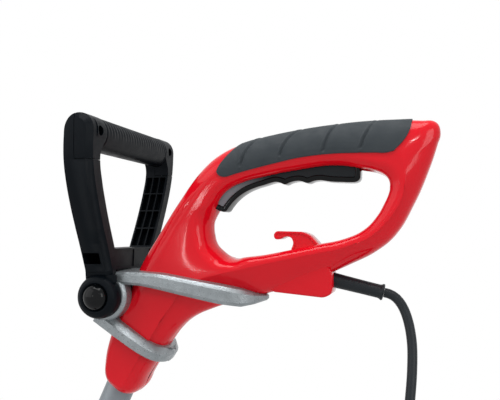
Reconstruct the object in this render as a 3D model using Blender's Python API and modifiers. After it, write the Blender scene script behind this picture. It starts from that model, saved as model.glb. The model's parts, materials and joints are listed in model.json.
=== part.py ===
# Electric string trimmer: looped rear handle with a soft grip and trigger, cast bracket with a
# tilting front handle, straight shaft, motor head with guard and line spool, and a mains lead.
# Sizes below are in millimetres, in a frame whose origin is the centre of the rear grip.
# +X points to the user, +Z points up, and the tool is symmetric about the plane Y = 0.

import math

import bpy
import bmesh
from mathutils import Matrix, Vector

MM = 0.001
CLEARANCE = 0.3          # between pieces that touch
FLOOR_Z = -890.0         # height of the cutting head's flat bottom

# Shaft
SHAFT_SLOPE = 65.5       # degrees from the ground
SHAFT_POINT = (-144.7, -163.5)
TUBE_RADIUS = 11.0
TUBE_WALL = 1.2
TUBE_TOP_Z = -126.0
TUBE_BOTTOM_Z = FLOOR_Z + 153.0
SHAFT_MEETS_HEAD = 145.0  # above the floor, where the shaft's axis meets the head's axis

# Rear handle housing
GRIP_HALF_WIDTH = 17.0
SOCKET_HALF_WIDTH = 20.0
WIDE_BELOW_Z = -115.0
NARROW_ABOVE_Z = -50.0
HOUSING_WALL = 2.5
HOUSING_ROUNDING = 7.0
HOUSING_OUTLINE = [
    (-156.6, -156.0), (-149.1, -131.3), (-135.5, -103.4), (-126.0, -82.9), (-111.3, -59.2),
    (-95.3, -34.9), (-80.0, -12.0), (-67.4, -0.4), (-51.3, 6.0), (-31.6, 10.3), (-8.2, 14.0),
    (19.2, 16.8), (46.6, 17.9), (72.1, 17.4), (81.9, 15.1), (86.5, 8.6), (84.6, 0.6),
    (78.3, -17.8), (69.0, -39.2), (56.1, -60.8), (43.4, -71.7), (24.2, -81.6), (4.1, -90.4),
    (-15.4, -97.3), (-34.9, -102.8), (-54.8, -108.1), (-76.3, -114.9), (-92.0, -122.2),
    (-101.5, -130.4), (-111.0, -143.0), (-126.3, -166.2), (-131.6, -175.6), (-139.0, -179.4),
    (-151.0, -173.4), (-155.6, -168.0),
]
LOOP_OUTLINE = [
    (-80.6, -46.8), (-81.0, -57.9), (-77.3, -68.0), (-69.7, -75.3), (-58.2, -77.9), (-37.8, -75.4),
    (-19.1, -71.9), (2.8, -67.4), (22.4, -63.2), (35.1, -57.3), (43.6, -48.7), (49.1, -39.4),
    (52.4, -31.5), (52.8, -25.8), (49.9, -20.2), (43.4, -16.9), (33.2, -14.8), (16.7, -12.3),
    (-12.7, -15.0), (-35.4, -18.9), (-50.8, -22.6), (-64.8, -27.9), (-74.6, -36.2),
]

# Lead outlet block under the lower bar
OUTLET_OUTLINE = [
    (-31.0, -98.0), (-29.5, -101.6), (-18.0, -102.4), (5.5, -104.8), (9.8, -103.6),
    (12.6, -100.0), (13.2, -92.0), (12.4, -86.0), (4.0, -80.0), (-16.0, -88.0),
]
OUTLET_HALF_WIDTH = 11.5
OUTLET_ROUNDING = 2.0

# Hook in the loop that relieves an extension lead
HOOK_OUTLINE = [
    (-18.6, -76.0), (-15.8, -70.8), (-14.1, -66.4), (-15.6, -62.7), (-18.7, -61.7),
    (-21.7, -62.5), (-24.6, -64.1), (-27.7, -63.8), (-28.7, -60.6), (-26.6, -58.0),
    (-16.4, -58.3), (-8.0, -58.5), (-2.4, -60.9), (2.4, -66.2), (7.4, -71.5), (3.4, -77.0),
]
HOOK_HALF_WIDTH = 9.0
HOOK_ROUNDING = 1.2

# Housing screws, as (x, z)
SCREW_PLACES = [(71.5, 5.0), (58.8, -41.0), (-11.3, -80.6), (-97.0, -62.0)]
SCREW_SHANK = 1.4
SCREW_HEAD = 3.2
SCREW_HEAD_HEIGHT = 2.4
SCREW_SEAT_DEPTH = 7.0
SCREW_REACH = 10.0
BOSS_RADIUS = 5.2

# Tube seat ribs in the socket, as distances along the shaft from SHAFT_POINT
SEAT_RIBS = (-34.0, -10.0)
SEAT_RIB_THICKNESS = 3.0

# Soft grip over the top of the loop
GRIP_OUTLINE = [
    (-67.6, -20.2), (-64.4, -23.0), (-55.0, -20.6), (-35.0, -14.8), (-7.7, -9.0),
    (23.4, -4.8), (45.0, -4.6), (56.0, -5.0), (61.0, -3.2), (64.5, 2.0), (67.0, 9.0),
    (70.0, 24.0), (0.0, 28.0), (-40.0, 24.0), (-50.5, 8.0), (-58.0, -2.5), (-65.0, -12.5),
]
GRIP_DEPTH = 1.6         # how far the grip lies below the housing's surface
GRIP_PROUD = 0.7         # how far it stands above it

# Trigger, with its pin at the front end of the loop
TRIGGER_PIVOT = (-86.0, -37.0)
TRIGGER_HALF_WIDTH = 7.0
TRIGGER_ROUNDING = 1.0
TRIGGER_OUTLINE = [
    (-74.5, -43.0), (-66.0, -43.8), (-60.2, -37.6), (-53.0, -31.4), (-40.9, -25.0), (-29.5, -23.0),
    (-23.0, -25.0), (-14.6, -21.2), (-7.0, -23.6), (3.4, -20.2), (11.3, -22.9), (21.0, -20.8),
    (29.0, -24.0), (32.2, -23.4), (32.4, -20.0), (32.2, -12.0), (31.0, -8.4), (10.0, -9.2),
    (-18.0, -11.6), (-40.0, -16.4), (-58.0, -21.5), (-76.0, -29.4), (-86.0, -31.6), (-91.4, -37.0),
    (-86.0, -42.4),
]
TRIGGER_SLOT = [
    (33.8, -30.0), (33.8, -5.0), (-45.0, -8.0), (-78.0, -24.0), (-93.0, -29.5), (-93.0, -44.4),
    (-80.0, -46.8), (-66.0, -46.8), (-50.0, -36.0), (-10.0, -32.0),
]
SLOT_CLEARANCE = 0.5
TRIGGER_PIN_RADIUS = 2.0
TRIGGER_PIN_HALF_LENGTH = 13.0
PIN_BOSS_RADIUS = 4.6

# Switch over the trigger and its return spring
SWITCH_X = -5.0
SWITCH_LENGTH = 32.0
SWITCH_BOTTOM_Z = -4.0
SWITCH_HEIGHT = 13.0
SWITCH_HALF_WIDTH = 6.0
PLUNGER_HALF = 2.0
PLUNGER_HEIGHT = 8.6
PLUNGER_TRAVEL = 3.6
TRIGGER_TOP_AT_SWITCH = -10.2
SPRING_X = 20.0
SPRING_BOTTOM_Z = -8.2
SPRING_TOP_Z = 4.0
SPRING_RADIUS = 3.0
SPRING_WIRE = 0.45
SPRING_TURNS = 5
SPRING_SEAT_THICKNESS = 3.0
SPRING_SEAT_HALF_LENGTH = 5.0
SWITCH_SHELF_LENGTH = 3.0
SWITCH_SHELF_INSET = 3.0
SHELF_SIDE_GAP = 2.0     # between a shelf's end and the housing's outer side

# Motor capacitor in the neck
CAPACITOR_PLACE = (-106.0, -92.0)
CAPACITOR_LENGTH = 28.0
CAPACITOR_DEPTH = 14.0
CAPACITOR_HALF_WIDTH = 7.0
CAPACITOR_SHELF = 3.0
CAPACITOR_SHELF_HALF_LENGTH = 12.0

# Lead, its sleeve and its plug
LEAD_RADIUS = 3.3
SLEEVE_SLOPE = -13.0     # degrees below level
SLEEVE_START = (12.9, -92.4)
SLEEVE_LENGTH = 35.5
SLEEVE_RADIUS = 5.1
SLEEVE_END_RADIUS = 4.7
SLEEVE_LIP_RADIUS = 6.4
SLEEVE_LIP_LENGTH = 2.0
SLEEVE_COLLAR_RADIUS = 7.2
SLEEVE_COLLAR_LENGTH = 3.0
LEAD_STRAIGHT = 3.0      # how far it runs on from the sleeve before it bends
LEAD_ROUTE = [
    (55.2, -0.8, -103.4), (59.6, -2.4, -108.6), (62.9, -4.8, -116.0),
    (65.2, -8.0, -125.6), (66.3, -12.0, -137.0), (65.9, -19.0, -153.0), (64.2, -26.0, -172.0),
    (62.0, -31.0, -196.0), (60.4, -33.6, -224.0), (59.6, -34.6, -256.0), (59.4, -35.0, -290.0),
    (59.4, -35.0, -325.0), (59.4, -35.0, -352.0),
]
LEAD_SPACING = 1.4       # centreline points, in lead diameters
PLUG_LENGTH = 44.0
PLUG_RADIUS = 18.0
PLUG_NECK_RADIUS = 6.0
PIN_RADIUS = 2.4
PIN_LENGTH = 19.0
PIN_SPACING = 19.0

# Lead clamp inside the outlet block
CLAMP_X = -12.0
CLAMP_LENGTH = 10.0
CLAMP_HALF_WIDTH = 8.6
CLAMP_BOTTOM_Z = -96.2
INNER_LEAD_LENGTH = 30.0

# Front handle and its pivot
PIVOT = (-151.0, -105.1)
HANDLE_DEPTH = 20.0      # along X
HANDLE_LEAN = 0.033      # how far it leans forward per unit of height
HANDLE_OUTLINE_HALF = [
    (37.0, -93.0), (38.4, -86.0), (46.0, -71.0), (56.0, -52.5), (62.5, -39.5), (69.0, -24.0),
    (73.2, -10.0), (74.0, 0.0), (74.0, 8.0), (71.6, 17.0), (64.0, 20.5),
]
HANDLE_GAP_HALF = [
    (33.2, -70.6), (43.4, -52.0), (49.8, -39.0), (56.4, -23.6), (60.6, -10.0), (60.0, -4.0),
    (54.0, -2.4),
]
CROSSBAR_BOTTOM_Z = -83.0
HANDLE_INNER = 30.4      # half distance between the two hubs
HANDLE_ROUNDING = 3.0
BAR_RADIUS = 12.2
BAR_HALF_LENGTH = 74.0
BAR_FLATTENING = 0.92
BAR_END_ROUNDING = 4.0
BAR_CENTRE_Z = 9.3
HUB_RADIUS = 15.7
HUB_FACE_RADIUS = 10.6
HUB_OUTER = 41.6
COVER_FRONT_X = -150.0
COVER_BOTTOM_Z = -10.0
RIB_POCKET_DEPTH = 8.5
RIB_POCKETS = (4, 3)     # rows and columns
RIB_THICKNESS = 1.6
RIB_CHANNEL = (-15.0, -67.0)         # top and bottom height
RIB_CHANNEL_EDGE = 2.2
HANDLE_SCREW_PLACES = (-62.0, 62.0)
HANDLE_SCREW_Z = 10.2
HANDLE_SCREW_HEAD_X = -143.5
HANDLE_SCREW_END_X = -155.5
HANDLE_SCREW_SHANK = 1.6
HANDLE_SCREW_HEAD = 3.0

# Release button in each hub, its spring and the axle
BUTTON_RADIUS = 8.7
BUTTON_INNER = 35.4
BUTTON_DOME = 45.2
BUTTON_TRAVEL = 2.5
BUTTON_BORE_RADIUS = 5.4
AXLE_RADIUS = 3.0
AXLE_END = 31.6
NUT_RADIUS = 4.6
BUTTON_SPRING_RADIUS = 4.2
BUTTON_SPRING_WIRE = 0.4
BUTTON_SPRING_TURNS = 2

# Cast bracket
BOSS_FACE = 30.0
BRACKET_BOSS_RADIUS = 17.5
BRACKET_BOSS_INNER = 19.0
BRACKET_BAR_RADIUS = 10.5
UPPER_STRAP_HALF_OUTLINE = [
    (-155.0, 30.0), (-130.0, 30.0), (-102.0, 29.6), (-76.0, 28.0), (-61.0, 25.4), (-50.5, 21.0),
    (-42.5, 14.6), (-37.2, 8.2), (-34.6, 3.0),
]
UPPER_STRAP_TIP = -34.0
UPPER_STRAP_LINE = [     # (x, middle z, half height)
    (-155.0, -91.4, 4.0), (-139.0, -91.8, 4.5), (-122.0, -92.5, 4.8), (-108.0, -94.2, 5.6),
    (-94.0, -96.8, 6.0), (-64.0, -102.6, 6.5), (-50.0, -105.2, 6.0), (-42.0, -105.8, 4.0),
    (-34.0, -105.4, 1.9),
]
LOWER_STRAP_START = (-153.0, -121.6)
LOWER_STRAP_SLOPE = -33.0
LOWER_STRAP_HALF_OUTLINE = [
    (-4.0, 29.0), (16.0, 28.6), (31.0, 27.5), (41.0, 25.0), (48.0, 20.0), (52.4, 11.0),
]
LOWER_STRAP_TIP = 54.0
LOWER_STRAP_HALF_HEIGHT = 5.2
STRAP_ROUNDING = 1.8

# Motor head, heights measured from the floor
HEAD_X = round(SHAFT_POINT[0] + (FLOOR_Z + SHAFT_MEETS_HEAD - SHAFT_POINT[1])
               / math.tan(math.radians(SHAFT_SLOPE)), 1)
LINE_HEIGHT = 30.0
LINE_RADIUS = 0.8
LINE_REACH = 140.0
KNOB_RADIUS = 22.0
KNOB_TOP = 13.0
KNOB_STEM_RADIUS = 9.4
KNOB_STEM_TOP = 20.0
COVER_OUTER = 44.0
COVER_BASE = 9.0
COVER_FLOOR = 2.4
COVER_TOP = 24.0
SPOOL_HOUSING_OUTER = 41.2
SPOOL_HOUSING_WALL = 2.6
SPOOL_HOUSING_TOP = 46.0
SPOOL_RADIUS = 34.0
SPOOL_BOTTOM = 14.5
SPOOL_TOP = 36.0
SPOOL_FLANGE = 1.8
SPOOL_CORE = 16.0
SPOOL_BORE = 10.0
WINDING_RADIUS = 30.0
EYELET_RADIUS = 3.0
EYELET_BORE = 1.3
EYELET_FLANGE = 4.6
MOTOR_SHAFT_RADIUS = 4.0
MOTOR_SHAFT_TOP = 139.0
MOTOR_SHAFT_BOTTOM = 34.0
HEAD_NUT_RADIUS = 6.4
HEAD_NUT_HEIGHT = 5.0
KNOB_SPRING_RADIUS = 8.3
KNOB_SPRING_WIRE = 0.5
KNOB_SPRING_TURNS = 5
GUARD_BOTTOM = 49.0
GUARD_THICKNESS = 3.0
GUARD_RADIUS = 150.0
GUARD_INNER = 22.0
GUARD_SKIRT_BOTTOM = 20.0
GUARD_HALF_ANGLE = 80.0
GUARD_STEPS = 20
BASE_HEIGHT = 4.0
BASE_RADIUS = 47.0
BELL_SHAPE = [            # (share of the base's radius, height), top to bottom
    (0.0, 152.0), (0.298, 151.0), (0.553, 146.0), (0.723, 138.0), (0.851, 126.0),
    (0.926, 112.0), (0.970, 94.0), (1.0, 74.0),
]
MOTOR_WALL = 2.5
LOWER_BEARING = (4.3, 11.0, 7.0)     # bore radius, outer radius, width
UPPER_BEARING = (4.3, 9.5, 6.0)
FAN_RADIUS = 27.0
FAN_BLADES = 10
STATOR_OUTER = 30.0
STATOR_INNER = 18.3
STATOR_BOTTOM = 79.0
STATOR_TOP = 109.0
ROTOR_RADIUS = 17.5
COIL_HEIGHT = 7.0
COIL_BAR_HALF_WIDTH = 6.0
COMMUTATOR_RADIUS = 9.5
COMMUTATOR_HEIGHT = 12.0
BRUSH_HEIGHT = 7.4        # above the commutator's foot
BRUSH_HALF_WIDTH = 3.0
CARRIER_INNER = 13.5
CARRIER_OUTER = 27.0
COLLAR_RADIUS = 16.5
COLLAR_FOOT_RADIUS = 20.0
COLLAR_TOP_Z = FLOOR_Z + 206.0
COLLAR_FOOT_Z = FLOOR_Z + 122.0
CABLE_BORE_BOTTOM_Z = FLOOR_Z + 141.0
SHAFT_SEAT_TOP = 151.0
VENT_COUNT = 5
VENT_HEIGHTS = [(64.0, 74.0)]
CABLE_RADIUS = 3.0
CABLE_DROP = 8.0         # how far the cable runs on below the tube, in its hole in the motor housing
SWITCH_END_OF_CABLE_Z = -112.0
BLADE_ANGLE = -60.0
BLADE_LENGTH = 30.0
BLADE_WIDTH = 14.0
BLADE_THICKNESS = 1.6
GUARD_SCREW_INSET = 6.0  # from the base's rim
GUARD_SCREW_ANGLE = 43.0 # either side of the guard's middle
GUARD_SCREW_PLACES = [
    ((BASE_RADIUS - GUARD_SCREW_INSET) * math.cos(math.radians(angle)),
     (BASE_RADIUS - GUARD_SCREW_INSET) * math.sin(math.radians(angle)))
    for angle in (-GUARD_SCREW_ANGLE, GUARD_SCREW_ANGLE)]

HOLE = CLEARANCE + 0.1
BEYOND = 400.0           # reach of a cut that passes right through
COIL_STEPS = 6
MOTOR_STEPS = 16

for leftover in list(bpy.data.objects):
    bpy.data.objects.remove(leftover, do_unlink=True)

PARTS = bpy.data.collections.new("string_trimmer")
CUTTERS = bpy.data.collections.new("cutters")
bpy.context.scene.collection.children.link(PARTS)
bpy.context.scene.collection.children.link(CUTTERS)


# Materials

def material(name, colour, roughness, metallic=0.0):
    made = bpy.data.materials.new(name)
    made.use_nodes = True
    shader = made.node_tree.nodes["Principled BSDF"]
    shader.inputs["Base Color"].default_value = (*colour, 1.0)
    shader.inputs["Roughness"].default_value = roughness
    shader.inputs["Metallic"].default_value = metallic
    return made


RED_PLASTIC = material("red_plastic", (0.72, 0.012, 0.025), 0.22)
SOFT_RUBBER = material("soft_rubber", (0.05, 0.06, 0.062), 0.75)
BLACK_PLASTIC = material("black_plastic", (0.018, 0.022, 0.026), 0.45)
GLOSS_BLACK = material("gloss_black", (0.012, 0.014, 0.016), 0.15)
CAST_SILVER = material("cast_silver", (0.40, 0.43, 0.45), 0.38, 0.85)
GREY_TUBE = material("grey_tube", (0.27, 0.30, 0.32), 0.35, 0.6)
STEEL = material("steel", (0.55, 0.55, 0.56), 0.3, 1.0)
COPPER = material("copper", (0.72, 0.33, 0.16), 0.35, 1.0)
BRASS = material("brass", (0.70, 0.52, 0.22), 0.3, 1.0)
CARBON = material("carbon", (0.03, 0.03, 0.03), 0.6)
LEAD_PLASTIC = material("lead_plastic", (0.014, 0.017, 0.02), 0.4)
NYLON = material("nylon", (0.62, 0.60, 0.50), 0.4)
WHITE_PLASTIC = material("white_plastic", (0.7, 0.7, 0.68), 0.4)
BLUE_FILM = material("blue_film", (0.05, 0.12, 0.35), 0.35)


# Modelling helpers

def collect(obj, collection):
    for owner in list(obj.users_collection):
        owner.objects.unlink(obj)
    collection.objects.link(obj)


def tool(obj):
    """Turn a shape into a cutter or a joining shape that isn't a part itself."""
    collect(obj, CUTTERS)
    obj.hide_render = True
    obj.display_type = "WIRE"
    return obj


def part(obj, name, finish, origin=None):
    """Name a finished piece, give it its material and put its origin at a point in millimetres."""
    obj.name = name
    obj.data.name = name
    obj.data.materials.clear()
    obj.data.materials.append(finish)
    collect(obj, PARTS)
    if obj.type == "MESH":
        obj.data.shade_smooth()
        obj.data.set_sharp_from_angle(angle=math.radians(35))
    if origin is not None:
        obj.data.transform(obj.matrix_world)
        obj.data.transform(Matrix.Translation(-Vector(origin) * MM))
        obj.matrix_world = Matrix.Translation(Vector(origin) * MM)
    return obj


def mesh_object(name, bm, matrix=None):
    bmesh.ops.recalc_face_normals(bm, faces=bm.faces)
    data = bpy.data.meshes.new(name)
    bm.to_mesh(data)
    bm.free()
    if matrix is not None:
        data.transform(matrix)
    obj = bpy.data.objects.new(name, data)
    PARTS.objects.link(obj)
    return obj


def curve_mesh(curve):
    """Turn a curve object into a welded mesh object in world coordinates."""
    bpy.context.view_layer.update()
    evaluated = curve.evaluated_get(bpy.context.evaluated_depsgraph_get())
    data = bpy.data.meshes.new_from_object(evaluated)
    data.transform(curve.matrix_world)
    bm = bmesh.new()
    bm.from_mesh(data)
    bmesh.ops.remove_doubles(bm, verts=bm.verts, dist=0.01 * MM)
    bpy.data.meshes.remove(data)
    name = curve.name
    bpy.data.objects.remove(curve, do_unlink=True)
    return mesh_object(name, bm)


def plate(name, outline, half_width, rounding=0.0, hole=None, detail=2, smooth=True, grow=0.0):
    """A flat outline of (x, z) points, extruded to both sides of the plane Y = 0."""
    data = bpy.data.curves.new(name, "CURVE")
    data.dimensions = "2D"
    data.fill_mode = "BOTH"
    data.resolution_u = detail
    data.extrude = (half_width - rounding) * MM
    data.bevel_depth = rounding * MM
    data.bevel_resolution = 1
    data.offset = (grow - rounding) * MM
    for loop in filter(None, (outline, hole)):
        spline = data.splines.new("BEZIER")
        spline.bezier_points.add(len(loop) - 1)
        for point, (x, z) in zip(spline.bezier_points, loop):
            point.co = (x * MM, z * MM, 0.0)
            point.handle_left_type = "AUTO" if smooth else "VECTOR"
            point.handle_right_type = "AUTO" if smooth else "VECTOR"
        spline.use_cyclic_u = True
    obj = bpy.data.objects.new(name, data)
    obj.matrix_world = Matrix.Rotation(math.radians(90), 4, "X")
    PARTS.objects.link(obj)
    return curve_mesh(obj)


def turned(name, profile, steps=24, origin=(0.0, 0.0, 0.0), direction=(0.0, 0.0, 1.0), closed=False):
    """Turn a profile of (radius, height) points about an axis that starts at origin."""
    data = bpy.data.meshes.new(name)
    points = [(radius * MM, 0.0, height * MM) for radius, height in profile]
    edges = [(index, index + 1) for index in range(len(points) - 1)]
    if closed:
        edges.append((len(points) - 1, 0))
    data.from_pydata(points, edges, [])
    obj = bpy.data.objects.new(name, data)
    PARTS.objects.link(obj)
    screw = obj.modifiers.new("turn", "SCREW")
    screw.steps = steps
    screw.render_steps = steps
    screw.use_merge_vertices = True
    screw.merge_threshold = 0.01 * MM
    turn = Vector((0.0, 0.0, 1.0)).rotation_difference(Vector(direction)).to_matrix().to_4x4()
    obj.matrix_world = Matrix.Translation(Vector(origin) * MM) @ turn
    return obj


def ring(name, inner, outer, bottom, top, **place):
    profile = [(outer, top), (outer, bottom), (inner, bottom), (inner, top)]
    return turned(name, profile, closed=True, **place)


def rod(name, radius, bottom, top, **place):
    return turned(name, [(0.0, top), (radius, top), (radius, bottom), (0.0, bottom)], **place)


def box(name, low, high, rounding=0.0):
    """A box between two corners in millimetres, with bevelled edges if rounding is given."""
    bm = bmesh.new()
    bmesh.ops.create_cube(bm, size=1.0)
    size = [(b - a) * MM for a, b in zip(low, high)]
    centre = [(a + b) / 2 * MM for a, b in zip(low, high)]
    bmesh.ops.scale(bm, vec=size, verts=bm.verts)
    bmesh.ops.translate(bm, vec=centre, verts=bm.verts)
    if rounding:
        bmesh.ops.bevel(bm, geom=list(bm.edges), offset=rounding * MM, segments=1, profile=0.5,
                        affect="EDGES", material=-1)
    return mesh_object(name, bm)


def boolean(obj, other, operation="DIFFERENCE"):
    change = obj.modifiers.new(other.name, "BOOLEAN")
    change.operation = operation
    change.object = tool(other)
    change.solver = "EXACT"
    return obj


def screw_room(name, shank, head, start, seat, end, **place):
    """The stepped hole for a screw: its shank from start to seat, then its head up to end."""
    return turned(name, [(0.0, end), (head, end), (head, seat), (shank, seat), (shank, start),
                         (0.0, start)], steps=12, **place)


def settle(obj):
    """Apply what the modifiers make and return a plain mesh object in world coordinates."""
    bpy.context.view_layer.update()
    evaluated = obj.evaluated_get(bpy.context.evaluated_depsgraph_get())
    data = bpy.data.meshes.new_from_object(evaluated)
    data.transform(obj.matrix_world)
    name = obj.name
    bpy.data.objects.remove(obj, do_unlink=True)
    plain = bpy.data.objects.new(name, data)
    PARTS.objects.link(plain)
    return plain


def carve(obj, other, operation="DIFFERENCE"):
    """Apply one Boolean at once, then weld the points it leaves almost on top of each other."""
    result = settle(boolean(obj, other, operation))
    bm = bmesh.new()
    bm.from_mesh(result.data)
    bmesh.ops.remove_doubles(bm, verts=bm.verts, dist=0.002 * MM)
    bmesh.ops.dissolve_degenerate(bm, edges=bm.edges[:], dist=0.001 * MM)
    bmesh.ops.triangulate(bm, faces=bm.faces[:])
    bm.to_mesh(result.data)
    bm.free()
    return result


def join(name, pieces):
    """Put separate solids that don't touch into one object."""
    bm = bmesh.new()
    for piece in pieces:
        plain = settle(piece)
        bm.from_mesh(plain.data)
        bpy.data.objects.remove(plain, do_unlink=True)
    data = bpy.data.meshes.new(name)
    bm.to_mesh(data)
    bm.free()
    obj = bpy.data.objects.new(name, data)
    PARTS.objects.link(obj)
    return obj


def triangulated(obj):
    """Split every face into flat triangles, so that cuts meet true planes."""
    bm = bmesh.new()
    bm.from_mesh(obj.data)
    bmesh.ops.triangulate(bm, faces=bm.faces[:])
    bm.to_mesh(obj.data)
    bm.free()
    return obj


def reshape(obj, rule):
    """Move each vertex by a rule that maps (x, y, z) in millimetres to a new place."""
    for vertex in obj.data.vertices:
        vertex.co = Vector(rule(*(vertex.co / MM))) * MM
    return obj


def smooth_points(route, spacing):
    """Read evenly spaced points from a smooth curve through the route's points."""
    ends = [Vector(route[0]) * 2 - Vector(route[1]), Vector(route[-1]) * 2 - Vector(route[-2])]
    knots = [ends[0], *map(Vector, route), ends[1]]
    fine = []
    for a, b, c, d in zip(knots, knots[1:], knots[2:], knots[3:]):
        for step in range(20):
            t = step / 20
            fine.append(0.5 * (2 * b + (c - a) * t + (2 * a - 5 * b + 4 * c - d) * t * t
                               + (3 * b - a - 3 * c + d) * t ** 3))
    fine.append(Vector(route[-1]))
    lengths = [0.0]
    for start, end in zip(fine, fine[1:]):
        lengths.append(lengths[-1] + (end - start).length)
    count = max(2, round(lengths[-1] / spacing))
    points = []
    for index in range(count + 1):
        wanted = lengths[-1] * index / count
        after = next(i for i, length in enumerate(lengths) if length >= wanted - 1e-6)
        before = max(after - 1, 0)
        span = lengths[after] - lengths[before]
        share = (wanted - lengths[before]) / span if span else 0.0
        points.append(fine[before].lerp(fine[after], share))
    return points


def tube(name, points, radius, detail=2):
    """A round wire or cable along points in millimetres."""
    data = bpy.data.curves.new(name, "CURVE")
    data.dimensions = "3D"
    data.bevel_depth = radius * MM
    data.bevel_resolution = detail
    data.use_fill_caps = True
    spline = data.splines.new("POLY")
    spline.points.add(len(points) - 1)
    for point, place in zip(spline.points, points):
        point.co = (*(Vector(place) * MM), 1.0)
    obj = bpy.data.objects.new(name, data)
    PARTS.objects.link(obj)
    return curve_mesh(obj)


def coil(name, radius, wire, bottom, top, turns, origin, direction=(0.0, 0.0, 1.0)):
    """A helical spring between two heights on an axis."""
    turn = Vector((0.0, 0.0, 1.0)).rotation_difference(Vector(direction))
    low = bottom + wire
    rise = top - wire - low
    count = turns * COIL_STEPS
    points = []
    for index in range(count + 1):
        angle = 2 * math.pi * turns * index / count
        local = Vector((radius * math.cos(angle), radius * math.sin(angle), low + rise * index / count))
        points.append(Vector(origin) + turn @ local)
    return tube(name, points, wire, detail=0)


def mirrored_outline(half, tip=None):
    """Close a half outline of (a, b) points with its mirror image across b = 0."""
    middle = [(tip, 0.0)] if tip is not None else []
    return half + middle + [(a, -b) for a, b in reversed(half)]


def shaft_x(z):
    """The shaft axis's X at a height."""
    return SHAFT_POINT[0] + (z - SHAFT_POINT[1]) / math.tan(math.radians(SHAFT_SLOPE))


SHAFT_UP = (math.cos(math.radians(SHAFT_SLOPE)), 0.0, math.sin(math.radians(SHAFT_SLOPE)))


def half_width(z):
    """Half the housing's width at a height: wide at the socket, narrower at the grip."""
    share = (NARROW_ABOVE_Z - z) / (NARROW_ABOVE_Z - WIDE_BELOW_Z)
    share = min(max(share, 0.0), 1.0)
    share = share * share * (3 - 2 * share)
    return GRIP_HALF_WIDTH + (SOCKET_HALF_WIDTH - GRIP_HALF_WIDTH) * share


# Outer forms of the rear handle housing

def housing_solid(name, grow=0.0):
    """The whole outer form of the housing, larger all round by grow."""
    body = plate(name, HOUSING_OUTLINE, GRIP_HALF_WIDTH + grow, HOUSING_ROUNDING, LOOP_OUTLINE,
                 detail=1, grow=grow)

    def widen(x, y, z):
        return x, y + math.copysign(half_width(z) - GRIP_HALF_WIDTH, y) * min(abs(y), 1.0), z

    return triangulated(reshape(body, widen))


def outlet_solid(name, grow=0.0):
    return plate(name, OUTLET_OUTLINE, OUTLET_HALF_WIDTH + grow, OUTLET_ROUNDING, detail=1, grow=grow)


def keep_side(obj, side, gap=CLEARANCE / 2):
    """Cut an object at the parting plane and keep one side, left open at the plane."""
    bm = bmesh.new()
    bm.from_mesh(obj.data)
    bmesh.ops.bisect_plane(bm, geom=bm.verts[:] + bm.edges[:] + bm.faces[:], dist=0.001 * MM,
                           plane_co=(0.0, side * gap * MM, 0.0), plane_no=(0.0, -side, 0.0),
                           clear_outer=True)
    bm.to_mesh(obj.data)
    bm.free()
    return obj


def capped(obj):
    """Close the flat opening that keep_side leaves."""
    bm = bmesh.new()
    bm.from_mesh(obj.data)
    bmesh.ops.holes_fill(bm, edges=[edge for edge in bm.edges if edge.is_boundary], sides=0)
    bm.to_mesh(obj.data)
    bm.free()
    return obj


def side_rod(name, x, z, radius, inner, outer, side, steps=12):
    """A round bar along Y on one side of the tool, between two distances from its middle."""
    return rod(name, radius, inner, outer, steps=steps, origin=(x, 0.0, z),
               direction=(0.0, side, 0.0))


def side_block(name, low, high, side):
    """A box given by (x, distance from the middle, z) corners on one side of the tool."""
    near, far = sorted((side * low[1], side * high[1]))
    return box(name, (low[0], near, low[2]), (high[0], far, high[2]))


def shaft_rod(name, radius, bottom_z, top_z, steps=24, top_radius=None):
    """A round bar on the shaft axis between two heights."""
    length = (top_z - bottom_z) / SHAFT_UP[2]
    upper = radius if top_radius is None else top_radius
    return turned(name, [(0.0, length), (upper, length), (radius, 0.0), (0.0, 0.0)], steps=steps,
                  origin=(shaft_x(bottom_z), 0.0, bottom_z), direction=SHAFT_UP)


def grip_recess(name):
    """What the soft grip takes out of the housing: its outline less the core it wraps."""
    region = plate(name, GRIP_OUTLINE, GRIP_HALF_WIDTH + 4.0, detail=1)
    core = housing_solid(name + "_core", -GRIP_DEPTH)
    return settle(boolean(region, core))


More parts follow.
